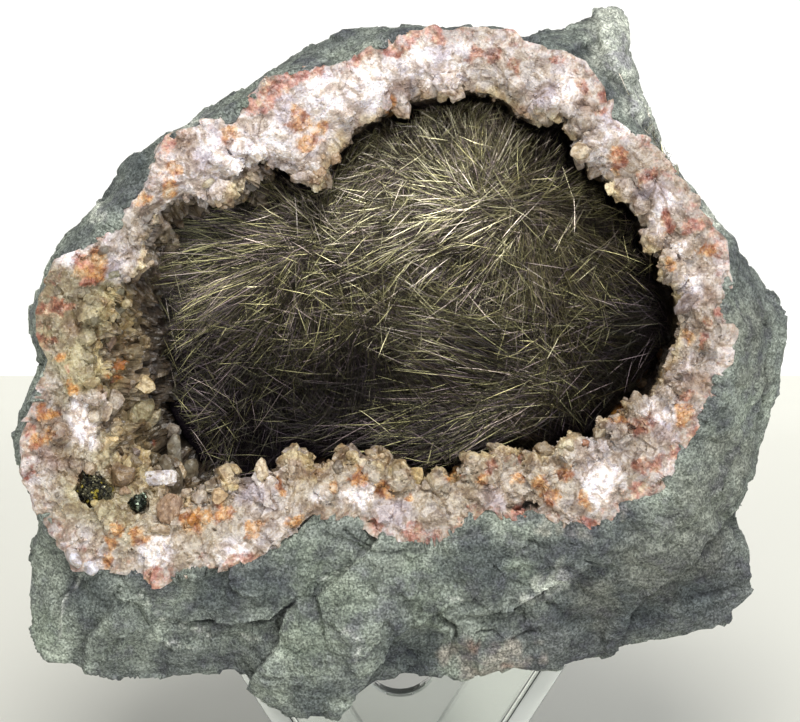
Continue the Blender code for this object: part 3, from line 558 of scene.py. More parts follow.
# Iron stains, in the three channels that the quartz's material reads: orange, rust red and salmon
crustStains = [
    [(-26.5, -23.2, 1.5), (-27.6, -21, 1.1), (-18, -19.2, 1.0), (-17.9, -17.6, 0.9), (-6, -17.3, 1.5),
     (-2.7, -19.5, 1.5), (1.5, -20.2, 1.1), (20.7, -18.8, 1.7), (22.5, -20.5, 1.4), (28, -20.5, 1.2),
     (18, -17.9, 1.1), (-15.9, -24.3, 1.1), (-21.5, -25.6, 1.4), (-14.7, 36.2, 1.5), (-13.5, 33.3, 1.6),
     (-25.8, 34, 1.7), (-35, 26.3, 1.6), (-33.3, 28.4, 1.1), (33, 29.5, 1.2), (34, 30.5, 1.2),
     (46.4, 15.9, 1.4), (40.3, 14.9, 1.2), (42.9, 3.2, 1.4), (42.5, -7.7, 1.2), (-46.7, 14.4, 1.7),
     (-45.5, 15.7, 1.2), (-51.3, 0.4, 1.1), (-48.6, -4, 1.7), (-52.8, -8, 1.5), (-53.2, -12, 1.6),
     (-39.3, -26.3, 1.7), (-42.7, -25.4, 1.2), (-43.5, -27.6, 1.1), (-44.4, -29.7, 1.3), (-38, 24, 1.2),
     (32.6, -8, 1.4), (-30.3, -24, 1.9), (-31.5, -24.6, 1.2), (-42.4, -0.8, 1.3), (-42.9, -2.6, 1.0),
     (-12.6, 35.3, 1.2), (-1.4, 38.2, 1.4), (8.5, -17.2, 1.2), (12.6, -17.8, 1.2), (-9.6, -18.8, 1.0),
     (24.5, -17.2, 1.3)],
    [(27.9, 41.6, 1.6), (30.8, 39.6, 1.2), (17.3, 44.1, 1.1), (13.7, 46.4, 1.7), (11.5, 46.8, 1.2),
     (35.9, -9, 2.2), (36.6, -15.7, 1.5), (39, -15.4, 1.1), (45.5, 2.7, 1.2), (46.8, 6, 1.1), (-53, 8.2, 1.1),
     (-51.4, 8.0, 1.1), (-49.9, 8.5, 1.0), (-53.7, 3.2, 1.3), (-49.6, -1, 0.9), (13.6, -16, 1.2),
     (17.7, -14.8, 1.3), (36.7, 27.6, 1.2), (-55.5, -16.6, 0.9), (-36.4, -12.8, 0.6), (37, 1.5, 1.0),
     (22.5, 45.5, 1.0), (40.5, 21, 1.5), (33.8, 30, 1.2), (42.8, -5.6, 1.2)],
    [(-21.9, 38.6, 1.4), (-19.7, 38.3, 1.2), (-18.6, 40.7, 1.4), (-16.8, 42.6, 1.5), (-14.9, 43.1, 1.3),
     (-12, 44.2, 1.1), (-4.5, 46.2, 1.1), (-6.9, 44.5, 0.9), (-0.7, 46.9, 1.0), (0.6, 48.5, 1.2),
     (2.5, 48.8, 1.2), (5.5, 49, 1.1), (41.2, -13.3, 1.2), (34.8, -19.4, 1.3), (17.3, -23.1, 1.7),
     (1.8, -25.9, 1.3), (-3, -25, 1.1), (-24.9, -29.9, 1.3), (-22.3, -30.5, 1.2), (40.7, 21.1, 1.4),
     (-36.6, -33, 1.4), (-35.2, 32.4, 1.2), (-46.9, 12.5, 1.1), (48.5, 8, 1.0), (-54.9, -10.3, 1.1),
     (29.7, 37.5, 0.8), (28.5, -24, 1.2), (-47.5, 15.5, 1.2), (45, -12, 1.0), (43.5, 20.5, 1.1)],
]
shadedSlit = [(16.4, -22.0), (18.6, -21.7), (20.2, -21.9)]  # a crack that stays open in the broken face, painted near black inside as shade
# Stones that can be told apart: knobs as (x, z, radius, colour), and crystals with the bearing and the slant
# to the eye of their long axis, in degrees, before the colour
knobRows = [
    (-38.2, -3.6, 2.3, 0xC6B48E), (-42.2, -0.4, 1.5, 0xB9783E), (-43.4, 3.3, 1.8, 0xA48A74),
    (-39.8, 5.9, 1.9, 0x6E624C), (-42.3, 10.2, 1.5, 0x7E7A62), (-42.7, 13.0, 1.4, 0x86826C),
    (-42.0, 7.8, 1.3, 0x807A60), (-40.6, 1.4, 1.8, 0x86785E), (27.3, 31.0, 1.5, 0xC9BBA4),
    (2.2, -17.2, 1.6, 0xC6B080), (32.4, -8.2, 1.3, 0xBE8C44), (25.3, -12.4, 1.0, 0xDCD2B4),
    (27.8, -12.5, 0.95, 0xA8785A), (-12.8, -15.1, 2.2, 0x9A6A54), (-45.8, -21.4, 0.8, 0xBBAA7C),
    (-34.7, -22.7, 2.1, 0xB59C86), (-41.2, -19.3, 1.1, 0xAE9880), (-31.0, -23.8, 1.6, 0xC88A48),
    (-36.5, -25.2, 1.6, 0xC2B29A), (-29.5, -19.5, 1.6, 0xBBB2A4), (30.0, -10.6, 1.6, 0xA89C88),
    (-26.6, -20.3, 1.5, 0xCFB896), (37.0, -1.6, 1.4, 0xA28C70), (-20.6, -16.8, 1.7, 0xCDBFA6),
]
pointRows = [
    (-36.3, -17.6, 2.3, 5, 15, 0xDCD8D8), (-49.0, -29.4, 1.9, 300, 50, 0xD8D8E2),
    (-46.5, -31.1, 1.7, 330, 50, 0xDADAE2), (-38.9, -7.6, 2.9, 42, 15, 0xB0A888),
    (-37.4, -8.7, 2.5, 44, 12, 0xBCB498), (-40.4, -9.2, 2.0, 60, 20, 0xA09474),
    (-40.1, -13.9, 1.5, 20, 40, 0x7E7068), (-28.9, 26.6, 1.1, 215, 30, 0xC4BCA4),
    (-12.7, 26.2, 1.0, 262, 20, 0xC4BCA4), (39.2, 1.2, 1.3, 120, 30, 0x86684C),
    (-34.2, -10.4, 1.5, 30, 30, 0xB4B0AA), (36.4, -3.4, 1.6, 150, 25, 0x9A8468),
]
clearRows = [
    (-33.8, -13.4, 2.4, 95, 10, 0xB4AC98), (-33.6, -18.2, 2.2, 85, 12, 0xA89E8A),
    (-31.5, -17.4, 2.4, 78, 10, 0xACA490), (-34.9, -15.6, 1.9, 100, 15, 0xB2AA98),
    (-27.7, 21.9, 1.4, 230, 30, 0xB0A470), (-44.6, 16.6, 1.2, 20, 60, 0xB8B2A8),
]


def ringRadii(points, front):  # the crust's inner and outer radius round the hub, by bearing
    hubX, hubZ = display["hub"]
    count = 90
    out = np.hypot(points[:, 0] - hubX, points[:, 2] - hubZ)
    turn = (np.arctan2(points[:, 2] - hubZ, points[:, 0] - hubX) / (2 * math.pi) * count).astype(int) % count
    inner, outer = np.full(count, 35.0), np.full(count, 48.0)
    for k in range(count):
        here = front & (turn == k)
        if here.any():
            inner[k], outer[k] = out[here].min(), out[here].max()
    return out, turn, inner, outer


def isHidden(points, normals):  # true on the crust's back, which lies on the rock
    return (normals[:, 1] > 0.05) & ~inHollow(points, normals)


def crustLimit(middles, normals):
    limit = np.where(inHollow(middles, normals) & (middles[:, 1] > 5), crust["wallEdge"], crust["frontEdge"])
    limit = np.where(middles[:, 1] > 22, 3.0, limit)
    limit = np.where(toLine(asSeen(middles), shadedSlit)[0] < 0.7, crust["slitEdge"], limit)
    return np.where(isHidden(middles, normals), crust["hiddenEdge"], limit)


# Broken quartz is sugary and milky with a glassy glint, and iron oxide stains it along its grains. The clear
# kind lets the wall behind it show.
def quartzMaterial(name, clear=False):
    made, tree, where = newMaterial(name)
    colour = layerNode(tree, "tint")
    sugar = addNode(tree, "TexVoronoi", inputs={"Vector": where, "Scale": perMm(crust["sugar"])})
    blotch = noiseNode(tree, where, 2.6, 4.0, 0.6, 1.4)
    cloud = noiseNode(tree, where, 1.8, 5.0, 0.6)
    ragged = noiseNode(tree, where, 1.1, 6.0, 0.7)
    channels = addNode(tree, "SeparateColor", inputs={"Color": layerNode(tree, "stain")})
    shift = addNode(tree, "Math", {"operation": "MULTIPLY_ADD"}, {0: ragged, 1: 2.2, 2: -1.1})
    rusts = ("Red", 0xD29A54, 0xB0621C), ("Green", 0xB0745A, 0x8A4430), ("Blue", 0xCC9482, 0xB06450)
    for channel, pale, deep in rusts:
        level = addNode(tree, "Math", inputs={0: channels.outputs[channel], 1: shift.outputs[0]})
        mask = addNode(tree, "MapRange", {"interpolation_type": "SMOOTHSTEP"},
                       {"Value": level.outputs[0], "From Min": 0.38, "From Max": 1.15, "To Max": 0.85})
        iron = rampNode(tree, cloud, [(0, deep), (0.4, deep), (0.54, pale), (0.68, 0xE0CDB0), (1, 0xE0CDB0)])
        colour = addNode(tree, "Mix", {"data_type": "RGBA"},
                         {0: mask.outputs[0], 6: colour, 7: iron}).outputs[2]
    colour = shaded(tree, colour, [
        (sugar.outputs["Color"], 0.55, [(0, 0xA8A0A2), (0.42, 0xDCD8DA), (0.55, 0xFFFFFF), (1, 0xFFFFFF)]),
        (cloud, 0.55, [(0, 0x9C96A6), (0.4, 0xC0BAC4), (0.52, 0xFFFFFF), (1, 0xFFFFFF)]),
        (blotch, 0.7, [(0, 0x7E6044), (0.36, 0x9C8260), (0.46, 0xD8CAB4), (0.54, 0xFFFFFF), (1, 0xFFFFFF)]),
    ])
    bump = bumpNode(tree, sugar.outputs["Distance"], 0.15 if clear else 0.3, 0.2)
    finishMaterial(tree, {
        "Base Color": colour, "Roughness": 0.28 if clear else 0.4, "IOR": 1.544, "Normal": bump,
        "Transmission Weight": 0.5 if clear else 0.0, "Subsurface Weight": 0.0 if clear else 0.3,
        "Subsurface Scale": 0.001, "Subsurface Radius": (1.0, 0.8, 0.6)})
    return made


def ballOf(rounds):
    bm = bmesh.new()
    bmesh.ops.create_icosphere(bm, subdivisions=rounds, radius=1)
    points = np.array([v.co for v in bm.verts])
    triangles = np.array([[v.index for v in f.verts] for f in bm.faces])
    bm.free()
    return points, triangles


# Stones cut from a ball by planes: sharp ones are six-sided prisms with a point, the others are blocky knobs
def stones(roots, radii, axes, sharp, rounds, rng):
    ball, triangles = ballOf(rounds)
    count = len(roots)
    turn = np.arange(6) * math.pi / 3
    slope = math.radians(51.8)  # from quartz's long axis to its end faces' normals
    if sharp:
        sides = np.stack((np.cos(turn), np.sin(turn), 0 * turn), 1)
        ends = math.sin(slope) * sides + np.array([0, 0, math.cos(slope)])
        faces = np.broadcast_to(np.concatenate((sides, ends)), (count, 12, 3))
        reach = np.concatenate((rng.uniform(0.4, 0.62, (count, 6)), rng.uniform(0.6, 0.95, (count, 6))), 1)
    else:
        faces = unit(rng.normal(size=(count, 12, 3)))
        reach = rng.uniform(0.45, 0.8, (count, 12))
    across = np.einsum("vk,nfk->nvf", ball, faces)
    radius = np.where(across > 0.05, reach[:, None] / np.maximum(across, 0.05), 9).min(2).clip(0, 1.25)
    side = unit(np.cross(axes, rng.normal(size=(count, 3))))
    turned = np.stack((side, np.cross(axes, side), axes), 2)
    shape = ball[None] * radius[:, :, None] * rng.uniform(0.85, 1.2, (count, 1, 3))
    points = roots[:, None] + np.einsum("nij,nvj->nvi", turned, shape) * radii[:, None, None]
    triangles = triangles[None] + len(ball) * np.arange(count)[:, None, None]
    return points.reshape(-1, 3), triangles.reshape(-1, 3), len(ball)


def grains(roots, radii, rng):  # small uneven eight-sided grains
    count = len(roots)
    corners = np.array([(1, 0, 0), (-1, 0, 0), (0, 1, 0), (0, -1, 0), (0, 0, 1), (0, 0, -1)], float)
    turns = np.linalg.qr(rng.normal(size=(count, 3, 3)))[0]
    turns *= np.sign(np.linalg.det(turns))[:, None, None]
    shape = corners[None] * rng.uniform(0.6, 1.3, (count, 6, 1))
    points = roots[:, None] + np.einsum("nij,nkj->nki", turns, shape) * radii[:, None, None]
    one = np.array([(0, 2, 4), (2, 1, 4), (1, 3, 4), (3, 0, 4), (2, 0, 5), (1, 2, 5), (3, 1, 5), (0, 3, 5)])
    return points.reshape(-1, 3), (one[None] + 6 * np.arange(count)[:, None, None]).reshape(-1, 3)


def scatter(points, triangles, weights, count, rng):  # random places on triangles, and which triangles
    a, b, c = (points[triangles[:, k]] for k in range(3))
    area = np.linalg.norm(np.cross(b - a, c - a), axis=1) * weights
    pick = rng.choice(len(triangles), count, p=area / area.sum())
    u, v = rng.random((2, count))
    over = u + v > 1
    u, v = np.where(over, 1 - u, u)[:, None], np.where(over, 1 - v, v)[:, None]
    return a[pick] + (b[pick] - a[pick]) * u + (c[pick] - a[pick]) * v, pick


def crustTint(points, share):  # each point's colour, painted shade in the hollow included, and iron stains; share is 0 at the mouth, 1 at the rock
    seen = warpedSeen(points)
    tint = mixed(*crust["face"], 0.5 + 0.8 * softNoise(points, 5, 61))
    layPatches(tint, warpedSeen(points, 2.4, 0.8), crustZones)
    layPatches(tint, seen, crustPatchesAndCreviceShade)
    lip = ease(1.0 - share * 4.5 + 0.5 * softNoise(points, 1.8, 64)) * (points[:, 1] < 3.5)
    blend(tint, mixed(*crust["lip"], 0.5 + softNoise(points, 1.4, 68)), 0.75 * lip)
    # The hollow's wall: its own browner staining with painted shade, then painted shade near black deeper in
    # and under its roof
    wallStainAndShade = ease((points[:, 1] - 2.0) / 4)
    blend(tint, mixed(*crust["wall"], 0.5 + softNoise(points, 2.6, 65)), 0.8 * wallStainAndShade)
    roofShade = 0.7 * ease((points[:, 2] - 5) / 8) * ease((points[:, 1] - 1.5) / 3)
    deep = np.maximum(ease((points[:, 1] - 7) / 9), roofShade)
    blend(tint, linear(crust["deep"]), 0.9 * deep)
    stain = np.stack([spotShare(seen, spots) for spots in crustStains], 1)
    stain[:, 2] += 0.5 * ease((share - 0.72) / 0.2) * (points[:, 1] < 4)
    spread = np.stack([ease(2 * softNoise(points, 4.5, 91 + k)) for k in range(3)], 1)
    stain += np.array([0.3, 0.16, 0.16]) * (1 - deep[:, None]) * spread
    return tint, np.clip(stain, 0, 1)


def makeCrust():
    bm = nodeMesh("quartz_crust")
    refine(bm, crustLimit, 7)
    points, normals, triangles, _ = arraysOf(bm)
    hidden = isHidden(points, normals)
    out, turn, inner, outer = ringRadii(points, (points[:, 1] < 2.6) & ~hidden)
    share = np.clip((out - inner[turn]) / (outer - inner)[turn], 0, 1)
    height = 0.45 * softNoise(points, 6, 41) + brokenFace(points, crust["facets"], 50)
    height += 0.5 * ease(1.4 - share * 4) * np.abs(softNoise(points, 2.1, 43))
    height *= 1 - 0.45 * ease((points[:, 2] - 8) / 12) * (points[:, 1] < 3)  # the top broke flatter
    slitDepth, slitWidth = crust["slit"]
    slit = onLine(asSeen(points), shadedSlit, slitWidth) * ~hidden
    height -= slitDepth * slit
    blocky = ease((points[:, 1] - 1) / 2) * ease((-16 - points[:, 0]) / 5) * ~hidden
    height += blocky * brokenFace(points, crust["blocks"], 57)
    rim = ease((share - 0.86) / 0.12) * (points[:, 1] < 6)
    ragged = 0.7 + softNoise(points, 2.4, 44) + 0.2 * softNoise(points, 0.9, 46)
    reach = crust["overlap"] * ragged.clip(0.4) * rim
    points = points + normals * (height * ~hidden + 0.5 * hidden)[:, None] + fromHub(points) * reach[:, None]
    tint, stain = crustTint(points, share)
    # Painted shade inside the open slit
    tint *= (1 - 0.93 * slit)[:, None]
    tint *= (1 + 0.1 * facets(points, 1.2, 67)[1] + 0.4 * blocky * facets(points, 1.3, 59)[1])[:, None]
    milky = quartzMaterial("Broken milky quartz")
    layers = {"tint": tint, "stain": stain}
    addPiece("quartzCrust", points, triangles, milky, layers, node="quartz_crust")

    rng = np.random.default_rng(crust["seed"])
    middles, faceNormals = points[triangles].mean(1), normals[triangles].mean(1)
    shown, faceShare = ~hidden[triangles].any(1), share[triangles].mean(1)
    tree = treeOf(points, triangles)

    def addStones(name, rows, weights, material):
        count, sizes, sharp = crust[name]
        roots, pick = scatter(points, triangles, weights, count, rng)
        inward = unit(np.array(display["hollowMiddle"]) * (1, 0, 1) - (0, 12, 0) - roots * (1, 0, 1))
        axes = faceNormals[pick] + 0.5 * inward + 0.5 * rng.normal(size=(count, 3))
        radii = sizes[0] + (sizes[1] - sizes[0]) * rng.random(count) ** 2.2
        # Each stone takes the colour where it sits, painted shade in the hollow included
        colours = tint[triangles[pick, 0]] * rng.uniform(0.5, 1.3, (count, 1))
        stains = 0.6 * stain[triangles[pick, 0]]
        for x, z, radius, bearing, slant, colour in rows:
            hit = firstHit(tree, x, z)
            if hit is None:
                continue
            turn, up = math.radians(bearing), math.radians(slant)
            axis = (math.cos(turn) * math.cos(up), -math.sin(up), math.sin(turn) * math.cos(up))
            roots, axes = np.vstack((roots, hit)), np.vstack((axes, axis))
            radii, colours = np.append(radii, radius), np.vstack((colours, linear(colour)))
            stains = np.vstack((stains, np.zeros(3)))
        axes = unit(axes)
        parts = [], [], [], []
        start = 0
        for large in (False, True):
            chosen = (radii > crust["largeFrom"]) == large
            if not chosen.any():
                continue
            made, faces, each = stones(roots[chosen], radii[chosen], axes[chosen], sharp, 2 + large, rng)
            roughness = (0.03 if sharp else 0.1) * np.repeat(radii[chosen], each)
            away = unit(made - np.repeat(roots[chosen], each, 0), 1e-9)
            made = made + away * (roughness * brokenFace(made, [(0.9, 1.0, 0.7)], 55))[:, None]
            for part, values in zip(parts, (made, faces + start, np.repeat(colours[chosen], each, 0),
                                            np.repeat(stains[chosen], each, 0))):
                part.append(values)
            start += len(made)
        made, faces, colours, stains = (np.concatenate(part) for part in parts)
        addPiece(name, made, faces, material, {"tint": colours, "stain": stains})

    edge = shown * np.exp(-((faceShare / 0.16) ** 2)) * (middles[:, 1] < 6)
    wall = shown * (middles[:, 1] > 2) * (middles[:, 1] < 13) * (middles[:, 0] < -20)
    told = [(x, z, radius, 0, 60, colour) for x, z, radius, colour in knobRows]
    addStones("quartzKnobs", told, edge + 0.25 * wall, milky)
    addStones("wallKnobs", [], wall, milky)
    addStones("quartzPoints", pointRows, edge + 0.35 * wall + 0.02 * shown * (middles[:, 1] < 4), milky)
    addStones("clearQuartz", clearRows, edge + 0.3 * wall, quartzMaterial("Clear quartz", True))
    count, sizes = crust["sugarGrains"]
    roots, pick = scatter(points, triangles, shown * (middles[:, 1] < 4), count, rng)
    made, faces = grains(roots, rng.uniform(*sizes, count), rng)
    colours = tint[triangles[pick, 0]] * rng.uniform(0.86, 1.15, (len(roots), 1))
    addPiece("quartzSugar", made, faces, milky,
             {"tint": np.repeat(colours, 6, 0), "stain": np.repeat(stain[triangles[pick, 0]], 6, 0)})


makeCrust()
print("quartz crust done")


# Millerite: nickel sulphide grown as hair-thin needles
hair = {
    "thickness": (0.055, 0.1),  # mm: real hairs are 0.02 to 0.1 mm, and thinner ones than this don't show
    "layer": 4.2,  # mm from the mat's face down to where no hair can be told from the next
    "swell": 1.1,  # mm, uneven rise of the mat
    "brownShare": 0.38,  # of the hairs, the others are olive
    # Colours of olive and brown hairs at each step of brightness, which mixes each hair's own tone with
    # painted light and shade; the palest steps are painted highlights
    "steps": (0, 0.3, 0.55, 0.8, 1.0),
    "olive": (0x17161A, 0x504E3E, 0x9C9A70, 0xD4CF9C, 0xFAF5CE),
    "brown": (0x1C181E, 0x564A54, 0x94848A, 0xCABAB6, 0xF4E8E0),
    # Where along its curve a hair of 3, 4 or 5 places has them
    "stops": {3: (0, 0.5, 1), 4: (0, 0.3, 0.72, 1), 5: (0, 0.2, 0.5, 0.8, 1)},
    "perPiece": 190000,  # triangles
    "seed": 12,
    # (x, z, reach, count, brightness, partly painted light, bearing that they lean to in degrees or None, its
    # spread)
    "sprays": [
        (-11.7, 19.5, 19, 2300, 0.62, None, 0), (-11.7, 19.5, 26, 2200, 0.66, 197, 24),
        (-11.7, 19.5, 20, 1500, 0.5, 262, 34), (-11.7, 19.5, 20, 900, 0.6, 325, 26),
        (-11.7, 19.5, 17, 800, 0.6, 40, 40), (11.0, 23.7, 16, 1800, 1.3, 85, 42),
        (11.0, 23.7, 16, 1300, 1.05, None, 0), (11.0, 23.7, 20, 1300, 0.8, 188, 26),
        (19.2, 23.7, 17, 2200, 0.85, 268, 40), (19.2, 23.7, 17, 1500, 0.9, None, 0),
        (19.2, 23.7, 15, 700, 0.8, 20, 36), (2.0, 30.0, 13, 1200, 0.9, None, 0),
        (-4.8, 5.0, 15, 1300, 0.62, None, 0), (-4.8, 5.0, 30, 1700, 0.78, 337, 9),
        (-4.8, 5.0, 18, 900, 0.5, 275, 26), (23.6, 5.2, 15, 1500, 0.56, None, 0),
        (23.6, 5.2, 17, 700, 0.56, 335, 22), (25.0, -4.4, 30, 1500, 0.74, 193, 9),
        (25.0, -4.4, 26, 1000, 0.7, 160, 9), (25.0, -4.4, 11, 600, 0.6, None, 0),
        (-26.0, -7.8, 10, 600, 0.5, None, 0), (-9.6, -9.9, 11, 650, 0.5, 120, 70),
        (7.8, -12.6, 10, 750, 0.64, None, 0), (41.0, 7.0, 14, 420, 0.6, 182, 22),
        (31.0, 16.0, 12, 900, 0.5, None, 0), (10.0, 8.0, 15, 1500, 0.6, None, 0),
        (14.0, -6.0, 12, 900, 0.55, None, 0), (-20.0, 4.0, 15, 1200, 0.42, None, 0),
        (-24.0, 22.0, 12, 500, 0.55, None, 0), (0.0, 15.0, 14, 1500, 0.75, None, 0),
        (-30.0, 8.0, 11, 500, 0.36, None, 0), (8.0, 36.0, 9, 700, 0.9, None, 0),
    ],
    "overWall": 1.6, "deepest": 11,  # mm that hairs stay off the wall beside the mat, and how deep they go
    # How far left hairs reach, as (z, x), mm
    "leftEnd": [(-20.5, -30.5), (-14.1, -31.2), (-7.4, -35.2), (0.2, -37.2), (8.3, -36.3), (13.2, -40.8),
                (30, -40.8)],
    # Hairs of no spray, between the mat's ends in x and z: (count, lengths, brightness, places)
    "ends": ((-42, 44), (-20, 41)), "loose": [(17000, (2, 9), 0.75, 3), (900, (4, 10), 1.25, 5)],
    # Painted shade, where the mat lies deep and few hairs catch the light: hairs there are painted darker and
    # fewer are kept, as (x, z, radius, how much darker)
    "shade": [
        (-31, 20, 8, 0.2), (14, 1, 7, 0.35), (7, -10, 7, 0.66), (-18, 13, 8, 0.15),
        (-20, -12, 9, 0.7), (-8, -13, 7, 0.65), (-6, -3, 8, 0.68), (36, 3, 8, 0.6), (35, -6, 7, 0.7),
        (40, 9, 5, 0.6), (25.5, 32, 5, 0.6), (33, 23, 5, 0.4), (-34, -3, 6, 0.5), (-37, 12, 5, 0.3),
        (-29, 22, 6, 0.2), (24, -12, 6, 0.8), (10, 17, 4, 0.3), (16, -16, 4, 0.6), (-24, 0, 8, 0.4),
        (12, 0, 5, 0.25),
    ],
}


# Tapered three-sided rods along paths of places (count, places, 3), with a point at each end
def needles(path, thickness):
    count, places = path.shape[:2]
    along = unit(path[:, -1] - path[:, 0], 1e-9)
    side = unit(np.cross(along, np.array([0.31, 0.22, 0.93])), 1e-9)
    other = np.cross(along, side)
    rows = [path[:, 0]]
    for k in range(1, places - 1):
        for turn in (0, 2 * math.pi / 3, 4 * math.pi / 3):
            out = side * math.cos(turn) + other * math.sin(turn)
            rows.append(path[:, k] + out * (thickness / 2)[:, None])
    rows.append(path[:, -1])
    points = np.stack(rows, 1)
    each = points.shape[1]
    one = []
    for j in range(3):
        i = (j + 1) % 3
        one += [(0, 1 + i, 1 + j), (each - 4 + j, each - 4 + i, each - 1)]
        for k in range(places - 3):
            a, b = 1 + 3 * k, 4 + 3 * k
            one += [(a + j, a + i, b + i), (a + j, b + i, b + j)]
    triangles = (np.array(one)[None] + each * np.arange(count)[:, None, None]).reshape(-1, 3)
    return points.reshape(-1, 3), triangles, each


# Each hair is a striated metallic rod, olive brass to near black by its own tone and by the painted light and
# shade in its tint, and streaked with tarnish
def needleMaterial():
    made, tree, where = newMaterial("Millerite needles")
    tarnish = noiseNode(tree, where, 1.6, 3.0), 0.8, [(0, 0x8C867E), (0.5, 0xDAD6CE), (1, 0xFFFFFF)]
    colour = shaded(tree, layerNode(tree, "tint"), [tarnish])
    finishMaterial(tree, {"Base Color": colour, "Metallic": 0.8, "Roughness": 0.4})
    return made


# The mat's depth, where hairs are too close to tell apart: painted near black as shade, with fine paler
# threads
def bedMaterial():
    made, tree, where = newMaterial("Millerite mat in painted shade")
    threads = noiseNode(tree, where, 0.5, 3.0, warp=2.0)
    colour = rampNode(tree, threads, [(0, 0x09080B), (0.5, 0x151116), (1, 0x2E282A)])
    finishMaterial(tree, {"Base Color": colour, "Roughness": 0.9, "Specular IOR Level": 0.0})
    return made


def hairColour(bright, warmth):  # by how bright a hair is, painted light and shade included, and how brown rather than green
    ramps = (np.array([linear(c) for c in hair[kind]]) for kind in ("olive", "brown"))
    green, warm = (np.stack([np.interp(bright, hair["steps"], ramp[:, k]) for k in range(3)], 1)
                   for ramp in ramps)
    return green + (warm - green) * warmth[:, None]


# Reads on a grid how deep hairs lie on the mat and beside it, and gives a function of it
def depthReader(tree, wall, stone):
    step, low, high = 0.5, np.array([-48.0, -26.0]), np.array([50.0, 46.0])
    spans = [np.arange(low[k], high[k], step) for k in range(2)]
    toBack = Vector((0, 1, 0))
    leftZ, leftX = zip(*hair["leftEnd"])

    def depthOf(x, z):
        mat, *walls = (t.ray_cast(Vector((x, -30, z)), toBack)[0] for t in (tree, wall, stone))
        side = min((hit.y for hit in walls if hit), default=0)
        if x < np.interp(z, leftZ, leftX) or side < 3.5:
            return np.nan
        onWall = min(side - hair["overWall"], hair["deepest"])
        return min(mat.y, onWall) if mat else onWall

    grid = np.array([[depthOf(x, z) for z in spans[1]] for x in spans[0]])

    def depthAt(x, z):
        place = [np.clip((v - low[k]) / step, 0, len(spans[k]) - 1.001) for k, v in enumerate((x, z))]
        i, j = (p.astype(int) for p in place)
        u, v = place[0] - i, place[1] - j
        return (grid[i, j] * (1 - u) * (1 - v) + grid[i + 1, j] * u * (1 - v)
                + grid[i, j + 1] * (1 - u) * v + grid[i + 1, j + 1] * u * v)

    return depthAt


